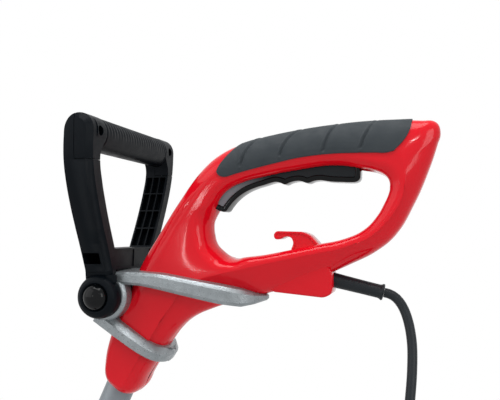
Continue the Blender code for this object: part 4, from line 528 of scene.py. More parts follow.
# outer x, z; crease x, z; loop x, z; then the section: bend share and depth, edge depth, lip width,
# trigger slot
SOCKET = (0.28, 18.0, 13.0, 11.0, 0.0)
NECK = (0.24, 17.2, 13.5, 11.0, 0.0)
BAR = (0.45, 15.5, 11.0, 7.0, 1.0)
STATIONS = [
    (-156.6, -156.0, -152.2, -157.0, -75.5, -62.0, *SOCKET),
    (-151.6, -131.3, -145.6, -133.9, -76.1, -59.0, *NECK),
    (-138.8, -103.4, -131.2, -106.8, -76.4, -55.5, *NECK),
    (-129.4, -82.9, -122.0, -87.5, -76.2, -52.0, *NECK),
    (-114.8, -59.2, -107.6, -64.0, -74.9, -48.6, *NECK),
    (-98.8, -34.9, -91.4, -39.7, -72.2, -43.2, 0.24, 17.2, 13.5, 8.5, 0.0),
    (-82.6, -12.0, -76.0, -20.5, -69.8, -36.4, 0.40, 14.2, 9.5, 7.5, 1.0),
    (-67.4, -0.4, -63.5, -12.5, -63.2, -28.6, 0.40, 14.8, 10.5, 7.0, 1.0),
    (-51.3, 6.0, -50.4, -9.0, -50.8, -22.6, *BAR),
    (-31.6, 10.3, -34.0, -5.5, -35.4, -18.9, *BAR),
    (-8.2, 14.0, -10.6, -2.0, -12.7, -15.0, *BAR),
    (19.2, 16.8, 17.8, 1.0, 16.7, -12.3, *BAR),
    (38.0, 17.9, 35.5, 0.5, 33.2, -14.8, 0.45, 15.5, 11.0, 7.0, 0.5),
    (56.0, 18.1, 50.0, -1.0, 43.4, -16.9, 0.45, 15.5, 11.0, 7.0, 0.0),
    (74.0, 17.6, 58.0, -3.5, 49.9, -20.2, 0.30, 13.0, 10.0, 9.0, 0.0),
    (84.0, 15.9, 60.6, -6.0, 52.0, -23.0, 0.24, 11.5, 9.0, 9.2, 0.0),
    (86.7, 8.8, 62.2, -9.5, 52.8, -25.8, 0.22, 11.0, 8.5, 9.5, 0.0),
    (84.6, 0.6, 63.2, -14.0, 52.8, -28.5, 0.24, 11.0, 8.5, 9.5, 0.0),
    (78.3, -17.8, 63.4, -22.8, 52.4, -31.5, 0.26, 11.0, 8.5, 9.5, 0.0),
    (69.0, -39.2, 59.6, -34.2, 49.1, -39.4, 0.30, 11.5, 8.5, 9.0, 0.0),
    (56.1, -60.8, 50.2, -49.6, 43.6, -48.7, 0.30, 11.5, 8.5, 7.5, 0.0),
    (43.4, -71.7, 40.0, -60.4, 35.1, -57.3, 0.30, 11.5, 8.5, 6.5, 0.0),
    (24.2, -81.6, 22.2, -69.6, 22.4, -63.2, 0.26, 11.0, 8.5, 5.2, 0.0),
    (4.1, -90.4, 2.8, -73.9, 2.8, -67.4, 0.22, 10.8, 8.5, 5.4, 0.0),
    (-15.4, -97.3, -13.5, -77.4, -19.1, -71.9, 0.20, 10.8, 8.5, 5.2, 0.0),
    (-34.9, -102.8, -32.0, -81.3, -37.8, -75.4, 0.20, 10.8, 8.5, 5.6, 0.0),
    (-54.8, -108.1, -50.0, -85.6, -50.4, -76.9, 0.20, 10.8, 8.5, 6.4, 0.0),
    (-76.3, -114.9, -66.0, -89.1, -56.5, -78.0, 0.22, 11.5, 8.8, 7.5, 0.0),
    (-92.0, -122.2, -86.0, -95.2, -61.5, -77.1, 0.24, 12.5, 9.5, 8.5, 0.0),
    (-101.5, -130.4, -106.0, -106.5, -65.0, -75.4, 0.26, 14.0, 10.5, 11.0, 0.0),
    (-111.0, -143.0, -119.6, -121.5, -68.0, -73.2, *SOCKET),
    (-126.3, -166.2, -128.6, -148.0, -70.6, -71.0, *SOCKET),
    (-131.6, -175.6, -135.0, -163.0, -72.6, -69.0, *SOCKET),
    (-139.0, -179.4, -140.2, -171.0, -73.9, -67.0, *SOCKET),
    (-151.0, -173.4, -148.0, -168.0, -74.7, -65.2, *SOCKET),
    (-155.6, -168.0, -151.4, -164.5, -75.2, -63.6, *SOCKET),
]
STATION_STEPS = 8
SEAM = 0.12
CREASE_SOFTNESS = 0.3
CROWN = 0.25
SLOT_HALF_WIDTH = 7.5
SLOT_DEPTH = 15.0
BAND_ROWS, FACE_ROWS, LIP_ROWS = 12, 8, 10


def housing_columns():
    """The profile of the near half at each step round the ring, as points in millimetres."""
    outer, crease, loop = (
        smooth_loop([row[first:first + 2] for row in STATIONS], STATION_STEPS) for first in (0, 2, 4))
    bend, bend_depth, edge_depth, lip, slot = (
        smooth_values([row[index] for row in STATIONS], STATION_STEPS) for index in range(6, 11))

    def place(flat, depth):
        return Vector((flat.x, -depth, flat.y))

    columns = []
    for index, (o, r, i) in enumerate(zip(outer, crease, loop)):
        along = loop[(index + 1) % len(loop)] - loop[index - 1]
        away = Vector((-along.y, along.x)).normalized()
        c = i + away * lip[index]
        deep_c = half_width(c.y)
        outer_way = (o - r).normalized()
        points = [place(o - outer_way * 0.35, SEAM), place(o - outer_way * 0.05, SEAM + 0.45)]
        q1 = place(o + (r - o) * bend[index], bend_depth[index])
        q2 = place(o, edge_depth[index])
        start, end = place(o, SEAM + 1.0), place(r, half_width(r.y) - CROWN)
        points += [bezier(start, q2, q1, end, row / BAND_ROWS) for row in range(BAND_ROWS)]
        outside = (bezier(start, q2, q1, end, 0.97) - end).normalized()
        crown = place(c, deep_c)
        inward = (crown - end).normalized()
        points += [end + outside * 0.9, end + outside * CREASE_SOFTNESS,
                   end + inward * CREASE_SOFTNESS, end + inward * 0.9]
        for row in range(1, FACE_ROWS):
            flat = r.lerp(c, row / FACE_ROWS)
            lift = CROWN * min(1.0, row / FACE_ROWS * 3)
            points.append(place(flat, half_width(flat.y) - CROWN + lift))
        hollow = clamp(slot[index])
        full = clamp((-46.0 - i.x) / 16.0) * (1 - hollow)
        wall = SLOT_HALF_WIDTH + 3.5 * (1 - hollow) - 10.2 * full
        low = place(i, wall)
        q3 = place(c + (i - c) * (0.55 - 0.03 * full), deep_c - 0.2)
        q4 = place(i, 14.5 - 1.5 * hollow - 6.5 * full)
        points += [bezier(crown, q3, q4, low, row / LIP_ROWS) for row in range(LIP_ROWS + 1)]
        deep = i + away * SLOT_DEPTH * hollow
        points += [place(deep, SLOT_HALF_WIDTH * hollow + min(5.0, wall * 0.6) * (1 - hollow)),
                   place(deep, SEAM + 0.3), place(deep + away * 0.35, SEAM)]
        columns.append(points)
    return columns


HOUSING = housing_columns()


def housing_half(side):
    columns, rows = len(HOUSING), len(HOUSING[0])

    def rule(column, row):
        point = HOUSING[column % columns][row % rows]
        return point.x, point.y * -side, point.z

    return sheet(columns, rows, rule)


near_half = housing_half(-1)
near_tree = BVHTree.FromBMesh(near_half)
left_shell = settle("handle_shell_left", near_half, "red_plastic", node="housing_left")
right_shell = settle("handle_shell_right", housing_half(1), "red_plastic", node="housing_right")

SCREW_PLACES = [(71.5, 5.0), (58.8, -41.0), (-11.3, -80.6), (-97.0, -62.0)]
for x, z in SCREW_PLACES:
    well = rounded(rod(3.6, half_width(z) - 7.0, half_width(z) + 4.0), 0.1)
    carve(right_shell, loose("screw_well", turned(well, 32, (x, 0.0, z), CROSSWISE)))


# Lead block and relief hook on the housing

def slab(outline, side, half, soft, segments, corner, panel=0.0):
    """One side of a flat form from an (x, z) outline, with its outer rim rounded."""
    ring = [(x, side * SEAM, z) for x, z in rounded(outline, corner, 4, closed=True)]
    bm = prism(ring, (0.0, side * (half - SEAM), 0.0))
    rim = [edge for edge in bm.edges if all(side * vertex.co.y > half / 2 * MM for vertex in edge.verts)]
    bmesh.ops.bevel(bm, geom=rim, offset=soft * MM, segments=segments, profile=0.5, affect="EDGES",
                    material=-1)
    if panel:
        face = max((f for f in bm.faces if len(f.verts) > 8), key=lambda f: side * f.calc_center_median().y)
        for thickness, depth in ((panel, 0.0), (0.35, -0.7)):
            bmesh.ops.inset_region(bm, faces=[face], thickness=thickness * MM, depth=depth * MM,
                                   use_even_offset=True)
    bmesh.ops.triangulate(bm, faces=[f for f in bm.faces if len(f.verts) > 4])
    return bm


BLOCK_OUTLINE = [
    (-31.2, -96.6), (-31.0, -99.6), (-28.6, -101.2), (7.4, -104.2), (12.6, -101.6), (13.6, -97.0),
    (13.6, -88.0), (11.8, -83.6), (2.0, -76.0), (-20.0, -86.0),
]
HOOK_OUTLINE = [
    (-18.6, -76.0), (-15.8, -70.8), (-14.1, -66.4), (-15.6, -62.7), (-18.7, -61.7),
    (-21.7, -62.5), (-24.6, -64.1), (-27.7, -63.8), (-28.7, -60.6), (-26.6, -58.0),
    (-16.4, -58.3), (-8.0, -58.5), (-2.4, -60.9), (2.4, -66.2), (7.4, -71.5), (3.4, -77.0),
]
BLOCK_HALF_WIDTH, HOOK_HALF_WIDTH = 11.6, 9.0
for label, side in SIDES:
    half_block = slab(BLOCK_OUTLINE, side, BLOCK_HALF_WIDTH, 1.4, 4, 2.4)
    for vertex in half_block.verts:
        vertex.co.y *= 1.0 - 0.30 * clamp((-14.0 - vertex.co.x / MM) / 17.0)
    settle(f"lead_block_{label}", half_block, "red_plastic")
    hook = slab(HOOK_OUTLINE, side, HOOK_HALF_WIDTH, 0.5, 2, 2.2, panel=0.9)
    settle(f"relief_hook_{label}", hook, "red_plastic")


# Soft grip, wrapped over the housing

GRIP_BOTTOM = [
    (-68.6, -15.6), (-66.6, -18.2), (-62.4, -19.3), (-54.2, -17.3), (-38.0, -13.4), (-22.1, -9.9),
    (-10.0, -7.4), (13.1, -5.2), (28.1, -5.0), (44.0, -5.3), (50.6, -5.6), (56.0, -4.4),
]
GRIP_LEFT_END = [(-68.6, -15.6), (-67.9, -12.4), (-65.5, -7.2), (-60.0, -0.8), (-51.0, 6.2)]
GRIP_RIGHT_END = [(56.0, -4.4), (61.4, -0.2), (65.0, 5.0), (67.2, 11.0), (68.2, 17.8)]
GRIP_COLUMNS, GRIP_ROWS = 250, 84
GRIP_PROUD, GRIP_WALL, GRIP_HALF_WIDTH = 1.0, 1.8, 17.0
# top x, z; foot x, z; bend
GRIP_GROOVES = [((-37.5, 9.0), (-50.6, -12.4), 2.4), ((-8.4, 13.0), (-22.0, -6.2), 2.6),
                ((18.0, 16.0), (8.6, -3.6), 1.6), ((43.8, 16.4), (34.2, -2.4), 1.4)]


def grip_groove(x, z):
    """How far the grip's grooves, with a soft lip beside each, sink at a place."""
    depth = 0.0
    for top, foot, bend in GRIP_GROOVES:
        a, b = Vector(top), Vector(foot)
        length = (b - a).length
        along = (b - a).normalized()
        here = Vector((x, z)) - a
        run = here.dot(along)
        share = clamp(run / length)
        off = here.dot(Vector((along.y, -along.x))) - bend * 4.0 * share * (1.0 - share)
        fade = clamp((run + 4.0) / 12.0) * clamp((length - run) / 0.8)
        depth += fade * (0.95 * exp(-(off / 0.65) ** 2) - 0.45 * exp(-((off - 1.6) / 0.7) ** 2))
        nub = (Vector((x, z)) - b - along * 1.2).length
        depth -= 0.6 * exp(-(nub / 0.9) ** 2)
    return depth


def add_grip():
    bottom, *ends = (smooth_loop(line, 12, closed=False)
                     for line in (GRIP_BOTTOM, GRIP_LEFT_END, GRIP_RIGHT_END))
    ridge = sorted((column[2].x, column[2].z) for column in HOUSING if column[2].z > -14.0)

    def rule(column, row):
        u = column / GRIP_COLUMNS
        angle = row / GRIP_ROWS * pi
        mirror = 1.0
        if angle > pi / 2:
            angle = pi - angle
            mirror = -1.0
        foot = along_line(bottom, u)

        def leaned(share):
            """Where the grip's edge above this foot has got to along X at a share of its rise."""
            left, right = (along_line(end, share) - end[0] for end in ends)
            return foot.x + left.lerp(right, u).x

        top_x = leaned(1.0)
        top_z = between(ridge, top_x)
        crest = (top_x, 0.0, top_z + GRIP_PROUD)
        if angle > pi / 2 - 1e-4:
            return crest
        heading = Vector((0.0, -cos(angle) * GRIP_HALF_WIDTH, (top_z - foot.y) * sin(angle))).normalized()
        heart = Vector((leaned(sin(angle)), 0.0, foot.y))
        hit = near_tree.ray_cast((heart + heading * 60.0) * MM, -heading)[0]
        if hit is None:
            return crest
        spot = hit / MM
        spot += heading * (GRIP_PROUD - grip_groove(spot.x, spot.z))
        return spot.x, spot.y * mirror, spot.z

    grip = settle("grip_cover", sheet(GRIP_COLUMNS, GRIP_ROWS, rule), "soft_rubber", node="soft_grip",
                  sharp=60.0)
    wall = grip.modifiers.new("wall", "SOLIDIFY")
    wall.thickness = GRIP_WALL * MM
    wall.offset = -1.0
    bevelled(grip, FINE_EDGE, 60.0)


add_grip()


# Trigger: a satin blade with a glossy rounded lower edge shaped for the fingers

TRIGGER_WAVES = [
    (-87.0, -40.4), (-81.0, -40.2), (-75.2, -40.8), (-71.8, -42.2), (-68.2, -43.7), (-65.3, -43.9),
    (-62.4, -40.6), (-58.6, -36.2),
    (-51.5, -30.7), (-43.6, -27.1), (-35.5, -24.8), (-30.8, -23.4), (-27.6, -22.9), (-24.0, -23.6),
    (-20.9, -24.8), (-17.0, -23.4), (-12.5, -22.5), (-9.0, -22.7), (-4.4, -24.1), (0.0, -22.8),
    (4.0, -22.3), (8.7, -22.9), (12.5, -23.5), (19.3, -23.9), (26.0, -24.2),
    (29.8, -23.9), (32.2, -22.2), (32.9, -18.5), (32.9, -13.0),
]
TRIGGER_TOP = [
    (32.0, -12.0), (31.0, -8.4), (10.0, -9.2), (-18.0, -11.6), (-40.0, -16.4), (-58.0, -21.5),
    (-76.0, -29.4), (-86.0, -31.6), (-91.0, -37.0), (-86.0, -42.2),
]
TRIGGER_BEAD, BEAD_HALF_WIDTH, TRIGGER_HALF_WIDTH = 3.9, 7.2, 5.9
TRIGGER_PIN = (-86.0, 0.0, -37.0)


def add_trigger():
    waves = smooth_loop(TRIGGER_WAVES, 5, closed=False)
    headings = [heading_at(waves, index) for index in range(len(waves))]
    normals = [Vector((-heading.y, heading.x)) for heading in headings]
    inside = [p + n * 1.6 for p, n in zip(waves, normals) if p.x < 30.5]
    half = TRIGGER_HALF_WIDTH
    ring = [(p.x, -half, p.y) for p in inside] + [(x, -half, z) for x, z in TRIGGER_TOP]
    blade = settle("trigger_blade", prism(ring, (0.0, 2 * half, 0.0)), "black_plastic", "trigger", "trigger")
    blade.data.materials[0] = SATIN_WITH_PAINTED_REFLECTION
    carve(blade, loose("pin_hole", turned(rod(2.3, -20.0, 20.0), 24, TRIGGER_PIN, CROSSWISE)))
    bevelled(blade, 0.5)
    wide = BEAD_HALF_WIDTH
    section = rounded([(-wide, TRIGGER_BEAD), (-wide, 0.0), (wide, 0.0), (wide, TRIGGER_BEAD)], 1.4, 5,
                      closed=True)
    count = len(section)

    def rule(column, row):
        y, rise = section[row % count]
        spot = waves[column] + normals[column] * rise
        return spot.x, y, spot.y

    settle("trigger_edge", capped(sheet(len(waves) - 1, count, rule)), "gloss_black", "trigger")


add_trigger()
for shell in (left_shell, right_shell):
    carve(shell, loose("plunger_room", block((-8.0, -2.8, -4.0), (-2.0, 2.8, 3.6))))


# Springs

def spring(name, node, foot, length, radius, wire, body):
    """A coil spring of five turns with closed ends, standing on a foot point, of wire with a radius."""
    around, turns = 10, 5
    columns, closed, flat = turns * 24, 0.8 / turns, 2.1 * wire * 0.8
    middle = length - 2 * wire - 2 * flat

    def climb(share):
        if share < closed:
            return flat * share / closed
        if share > 1.0 - closed:
            return length - 2 * wire - flat * (1.0 - share) / closed
        return flat + middle * (share - closed) / (1.0 - 2 * closed)

    def rule(column, row):
        share = column / columns
        angle = tau * turns * share
        ring = tau * (row % around) / around
        out = radius + wire * cos(ring)
        return Vector(foot) + Vector((out * cos(angle), out * sin(angle),
                                      wire + climb(share) + wire * sin(ring)))

    return settle(name, capped(sheet(columns, around, rule)), "steel", body, node)


coil = spring("trigger_return_spring", "trigger_spring", (20.0, 0.0, -8.2), 12.2, 3.0, 0.45, "trimmer_body")
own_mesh(coil)


# Front handle: arms, crossbar and hubs, with the rear cover of its bar

PIVOT = Vector((-151.0, 0.0, -105.1))
HANDLE_LEAN = 0.033
ARM_HALF_DEPTH = 10.3
BAR_HEIGHT = 9.3
BAR_RADIUS = 12.2
ARM_OUTLINE = [(38.4, -86.0), (46.2, -71.0), (56.4, -52.5), (63.0, -39.5), (69.6, -24.0),
               (73.6, -10.0), (74.6, 0.0), (74.6, 8.0), (74.6, 26.0)]
GAP_OUTLINE = [(33.2, -70.6), (43.4, -52.0), (49.8, -39.0), (56.4, -23.6), (60.4, -10.0), (60.0, -4.6),
               (57.0, 0.4), (54.4, 4.6), (54.0, 10.0), (54.0, 40.0)]
HUB_RADIUS = 15.7
HUB_INNER, HUB_OUTER = 30.4, 41.6
COVER_FRONT, COVER_BOTTOM, COVER_GAP = -150.0, -10.0, 0.35
HANDLE_SCREWS, SCREW_SEAT, SCREW_HEIGHT = (-62.0, 62.0), -143.5, 10.2
BUTTON_RADIUS, BUTTON_WELL, BUTTON_EDGE, BUTTON_RISE = 9.0, 9.4, 40.8, 5.8


def lean(bm):
    """Lean the handle forward about its pivot, a little further with height."""
    for vertex in bm.verts:
        vertex.co.x += PIVOT.x * MM + HANDLE_LEAN * (vertex.co.z - PIVOT.z * MM)
    return bm


def arm_inner(z):
    return between([(height, y) for y, height in GAP_OUTLINE], z)


def with_mirror(outline):
    """A smooth line through an outline and back along its mirror image."""
    line = [tuple(point) for point in smooth_loop(outline, 5, closed=False)]
    return line + [(-y, z) for y, z in reversed(line)]


def handle_arms():
    """The loop of arms and crossbar, round-topped from the side, with its outer rim chamfered."""
    outline = [(37.0, -93.0), *with_mirror(ARM_OUTLINE), (-37.0, -93.0), (-HUB_INNER, -93.0),
               (-HUB_INNER, -85.8), (HUB_INNER, -85.8), (HUB_INNER, -93.0)]
    loop = settle("arms", prism([(-20.0, y, z) for y, z in outline], (40.0, 0.0, 0.0)), "black_plastic",
                  "front_handle")
    carve(loop, loose("gap", prism([(-30.0, y, z) for y, z in with_mirror(GAP_OUTLINE)], (60.0, 0.0, 0.0))))
    top = [(ARM_HALF_DEPTH * cos(a), BAR_HEIGHT + BAR_RADIUS * sin(a))
           for a in (pi * step / 20 for step in range(21))]
    side = [(x, -90.0, z) for x, z in top + [(-ARM_HALF_DEPTH + 0.2, -100.0), (ARM_HALF_DEPTH - 0.2, -100.0)]]
    carve(loop, loose("side_shape", prism(side, (0.0, 180.0, 0.0))), "INTERSECT")
    bm = bmesh.new()
    bm.from_mesh(loop.data)
    bpy.data.objects.remove(loop, do_unlink=True)
    weld(bm, 0.00001)
    bmesh.ops.dissolve_limit(bm, angle_limit=radians(0.5), verts=bm.verts[:], edges=bm.edges[:])
    skin = []
    for face in bm.faces:
        middle = face.calc_center_median()
        outer = abs(middle.y) > (arm_inner(middle.z / MM) + 4.0) * MM
        if outer and abs(face.normal.y) > 0.6 and face.normal.y * middle.y > 0:
            skin.append(face)
    ring = bmesh.ops.inset_region(bm, faces=skin, thickness=4.2 * MM, use_boundary=True,
                                  use_even_offset=True)["faces"]
    rim = {vertex for face in ring for vertex in face.verts}
    rim -= {vertex for face in skin for vertex in face.verts}
    for vertex in rim:
        share = clamp((vertex.co.x / MM + 7.0) / 12.0)
        vertex.co.y -= copysign(0.5 + 2.9 * ease(share), vertex.co.y) * MM
    return lean(bm)


def handle_bar():
    """The grip bar with fine grooves on its upper rear side."""
    columns, rows, half = 276, 64, 66.0

    def rule(column, row):
        y = half * (2.0 * column / columns - 1.0)
        angle = tau * (row % rows) / rows
        window = clamp((cos(angle - radians(52.0)) - 0.45) / 0.35)
        ends = clamp((50.0 - abs(y)) / 1.2)
        groove = 0.38 * window * ends * (0.5 + 0.5 * cos(tau * y / 4.4)) ** 2
        collar = 0.5 * exp(-((abs(y) - 52.6) / 0.5) ** 2)
        radius = BAR_RADIUS - 0.35 - groove - collar
        return radius * 0.92 * cos(angle), y, BAR_HEIGHT + radius * sin(angle)

    return lean(capped(sheet(columns, rows, rule)))


def sliced(bm, plane_x, keep_front):
    """Keep the part of a closed form in front of a plane across X, or the part behind it."""
    bmesh.ops.bisect_plane(bm, geom=bm.verts[:] + bm.edges[:] + bm.faces[:],
                           plane_co=(plane_x * MM, 0.0, 0.0), plane_no=(1.0, 0.0, 0.0),
                           clear_outer=keep_front, clear_inner=not keep_front)
    return capped(bm)


def handle_pockets():
    """The open ribbed channel in the inner side of each arm."""
    rows, columns, wall = 4, 3, 1.0
    top, bottom, edge, rear_edge = -11.6, -69.6, 1.2, 1.8
    width = (20.0 - edge - rear_edge - (columns - 1) * wall) / columns
    height = (top - bottom - (rows - 1) * wall) / rows
    parts = []
    for _, side in SIDES:
        for row in range(rows):
            high = top - row * (height + wall)
            low = high - height
            for column in range(columns):
                left = -10.0 + edge + column * (width + wall)
                bm = block((left, 0.0, low), (left + width, 1.0, high))
                for vertex in bm.verts:
                    inner = arm_inner(vertex.co.z / MM)
                    y = inner + 6.2 if vertex.co.y > 0.0005 else inner - 6.0
                    vertex.co.y = side * y * MM
                parts.append(lean(bm))
    return merged(*parts)


def handle_cuts():
    """Slot and step line at the foot of each arm, and the panels in the crossbar's rear face."""
    parts = []
    for _, side in SIDES:
        slot = block((-9.4, 18.0, -81.6), (3.6, 60.0, -73.6), 0.5)
        line = block((-30.0, 37.4, -88.0), (30.0, 50.0, -87.2))
        panel = block((9.5, 0.6, -84.6), (20.0, 29.0, -71.8))
        for bm in (slot, line, panel):
            bmesh.ops.scale(bm, vec=(1.0, side, 1.0), verts=bm.verts[:])
            parts.append(lean(bm))
    return merged(*parts)


def on_hubs(profile, steps):
    """A form turned about the handle's pivot, once on each side."""
    return merged(*(turned(profile, steps, PIVOT, (0.0, side, 0.0)) for _, side in SIDES))


def handle_screw_wells():
    wells = [turned(rod(3.5, 0.0, 60.0), 32, (SCREW_SEAT, y, SCREW_HEIGHT), (1.0, 0.0, 0.0))
             for y in HANDLE_SCREWS]
    return loose("screw_wells", merged(*wells))


def cover_room(gap):
    """The room behind the handle's split line, which its rear cover fills."""
    return loose("cover_room", block((COVER_FRONT + gap, -90.0, COVER_BOTTOM + gap), (-100.0, 90.0, 60.0)))


def add_front_handle():
    whole = settle("front_handle_arms", handle_arms(), "black_plastic", "front_handle")
    hub = [(0.0, HUB_OUTER - 1.0), (9.0, HUB_OUTER - 1.0), (9.6, HUB_OUTER - 0.9), (10.2, HUB_OUTER - 0.1),
           (11.6, HUB_OUTER), (14.4, HUB_OUTER - 1.8), (HUB_RADIUS, HUB_OUTER - 5.0),
           (HUB_RADIUS, HUB_INNER), (0.0, HUB_INNER)]
    carve(whole, loose("hubs", on_hubs(rounded(hub, 0.9), 72)), "UNION")
    carve(whole, loose("pockets", handle_pockets()))
    carve(whole, loose("cuts", handle_cuts()))
    carve(whole, loose("button_wells", on_hubs(rod(BUTTON_WELL, 20.0, 60.0), 48)))
    cover = whole.copy()
    cover.data = whole.data.copy()
    cover.name = "front_handle_rear_cover"
    scene.collection.objects.link(cover)
    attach(cover, "front_handle")
    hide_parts("front_handle_frame")
    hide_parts("front_handle_cover")
    carve(whole, cover_room(0.0))
    carve(cover, cover_room(COVER_GAP), "INTERSECT")
    carve(cover, handle_screw_wells())
    bevelled(whole, FINE_EDGE, 35.0)
    bevelled(cover, FINE_EDGE, 35.0)
    settle("front_handle_bar_front", sliced(handle_bar(), COVER_FRONT, True), "black_plastic", "front_handle")
    rear = settle("front_handle_bar_rear", sliced(handle_bar(), COVER_FRONT + COVER_GAP, False),
                  "black_plastic", "front_handle")
    carve(rear, handle_screw_wells())
    lug = [(-146.0, -88.6), (-137.3, -89.3), (-137.2, -94.9), (-143.1, -96.0), (-148.0, -94.0)]
    lugs = merged(*(prism([(x, side * 34.0, z) for x, z in lug], (0.0, side * 2.6, 0.0))
                    for _, side in SIDES))
    bevelled(settle("front_handle_lugs", lugs, "black_plastic", "front_handle"), 0.5)


add_front_handle()

for label, side in SIDES:
    dome = [(BUTTON_RADIUS * sin(a), BUTTON_EDGE + BUTTON_RISE * cos(a))
            for a in (pi / 32 * step for step in range(17))]
    dome += [(9.1, 40.0), (8.6, 39.4), (8.6, 35.4), (5.4, 35.4), (5.4, 39.7), (0.0, 39.7)]
    settle(f"release_dome_{label}", turned(dome, 64, PIVOT, (0.0, side, 0.0)), "gloss_black",
           f"{label}_button", f"release_button_{label}")


# Cast bracket: a long strap past the neck, a short one round it, and a boss on each side

UPPER_OUTLINE = [
    (-155.0, 30.0), (-130.0, 30.0), (-102.0, 29.6), (-76.0, 28.0), (-61.0, 25.4), (-50.5, 21.0),
    (-42.5, 14.6), (-37.2, 8.2), (-34.6, 3.0), (-34.0, 0.0),
]
UPPER_LINE = [
    (-155.0, -91.4, 4.0), (-139.0, -91.8, 4.5), (-122.0, -92.5, 4.8), (-108.0, -94.2, 5.6),
    (-94.0, -96.8, 6.0), (-64.0, -102.6, 6.5), (-50.0, -105.2, 6.0), (-42.0, -105.8, 4.0),
    (-34.0, -105.4, 1.9),
]
LOWER_OUTLINE = [
    (-4.0, 29.0), (16.0, 28.6), (31.0, 27.5), (41.0, 25.0), (48.0, 20.0), (52.4, 11.0), (54.0, 0.0),
]
LOWER_START, LOWER_SLOPE = Vector((-153.0, -121.6)), radians(-33.0)


def strap_half(outline, section, place, side):
    """Half of a flat strap: its rim section carried round a half outline, closed at the middle."""
    line = smooth_loop(outline, 8, closed=False)
    columns = len(line) - 1

    def rule(column, row):
        spot = line[column]
        along = heading_at(line, column)
        inward = Vector((along.y, -along.x)) if column < columns else Vector((-1.0, 0.0))
        inset, height = section[row]
        if inset is None:
            return place(min(spot.x, line[columns].x - 0.01), 0.0, height)
        flat = spot + inward * inset
        return place(flat.x, side * max(flat.y, 0.0), height)

    return sheet(columns, len(section) - 1, rule)


def add_bracket():
    parts = []

    def lay_upper(x, y, height):
        middle = between([(a, b) for a, b, _ in UPPER_LINE], x)
        half = between([(a, c) for a, _, c in UPPER_LINE], x)
        return x, y, middle + height * half

    upper = [(None, 1.3), (2.3, 1.0), (1.9, 0.985), (0.25, 0.64), (0.0, 0.56), (0.0, -0.56),
             (0.25, -0.64), (1.9, -0.985), (2.3, -1.0), (None, -1.0)]

    def lay_lower(a, y, height):
        run, rise = cos(LOWER_SLOPE), sin(LOWER_SLOPE)
        return LOWER_START.x + run * a - rise * height, y, LOWER_START.y + rise * a + run * height

    lower = [(None, 5.2), (4.3, 5.2), (3.9, 5.05), (0.35, 1.7), (0.0, 1.3), (0.0, -4.0), (0.25, -4.5),
             (1.2, -5.1), (1.7, -5.2), (None, -5.2)]
    for outline, section, place in ((UPPER_OUTLINE, upper, lay_upper), (LOWER_OUTLINE, lower, lay_lower)):
        whole = merged(*(strap_half(outline, section, place, side) for _, side in SIDES))
        weld(whole, 0.00002)
        parts.append(outward(capped(whole)))
    boss = [(0.0, 30.0), (16.2, 30.0), (18.4, 27.8), (18.4, 19.0), (0.0, 19.0)]
    parts += [on_hubs(rounded(boss, 0.8, 3), 72),
              turned(rounded(rod(10.5, -26.0, 26.0), 0.5, 2), 48, PIVOT, CROSSWISE)]
    settle("cast_bracket", merged(*parts), "cast_silver", node="handle_bracket", sharp=24.0, turn=False)


add_bracket()


# Shaft tube

SHAFT_SLOPE = radians(65.5)
SHAFT_UP = Vector((cos(SHAFT_SLOPE), 0.0, sin(SHAFT_SLOPE)))
SHAFT_POINT = Vector((-144.7, 0.0, -163.5))
FLOOR = -890.0
HEAD_X = -409.7


def on_shaft(z):
    return SHAFT_POINT + SHAFT_UP * ((z - SHAFT_POINT.z) / SHAFT_UP.z)


TUBE_BORE, TUBE_RADIUS, TUBE_TOP = 9.8, 11.0, -126.0
inner, outer = TUBE_BORE + 0.3, TUBE_RADIUS - 0.3
tube_foot = on_shaft(FLOOR + 153.0)
tube_end = (TUBE_TOP - tube_foot.z) / SHAFT_UP.z
tube = [(TUBE_BORE, 0.3), (TUBE_BORE, tube_end - 0.3), (inner, tube_end), (outer, tube_end),
        (TUBE_RADIUS, tube_end - 0.4)]
tube += [(TUBE_RADIUS, tube_end * share) for share in (0.8, 0.6, 0.4, 0.2)]
tube += [(TUBE_RADIUS, 0.4), (outer, 0.0), (inner, 0.0)]
settle("grey_shaft_tube", turned(tube, 72, tube_foot, SHAFT_UP, True), "grey_tube", node="shaft_tube")


# Motor head, heights measured from the floor

HEAD = Vector((HEAD_X, 0.0, FLOOR))
COVER_RADIUS, BASE_TOP, BASE_BOTTOM = 47.0, 56.3, 52.3
BELL = [(0.0, 152.0), (14.0, 151.0), (26.0, 146.0), (34.0, 138.0), (40.0, 126.0), (43.5, 112.0),
        (45.6, 94.0), (COVER_RADIUS, 74.0)]
GUARD_SCREWS, GUARD_SCREW_CIRCLE = (-43.0, 43.0), 41.0
GUARD_SPREAD = 160.0
FLUTES, FLUTE_CIRCLE = 24, 46.2
EYELET_HEIGHT = 30.0


def at_head(x, y, z):
    return HEAD + Vector((x, y, z))


def round_head(degrees, radius, z):
    """A place round the head's axis."""
    return at_head(radius * cos(radians(degrees)), radius * sin(radians(degrees)), z)


def spoke(low, high, soft, degrees):
    """A block that stands out from the head's axis at an angle."""
    bm = block(low, high, soft)
    turn = Matrix.Rotation(radians(degrees), 4, "Z")
    bmesh.ops.transform(bm, matrix=Matrix.Translation(HEAD * MM) @ turn, verts=bm.verts[:])
    return bm


def bell_line(inset):
    """The motor cover's outline as radius and height, drawn in by an inset."""
    line = smooth_loop(BELL, 5, closed=False)
    points = []
    for index, spot in enumerate(line):
        along = heading_at(line, index)
        points.append((max(spot.x + along.y * inset, 0.0), spot.y - along.x * inset))
    points[0] = (0.0, BELL[0][1] - inset)
    return points


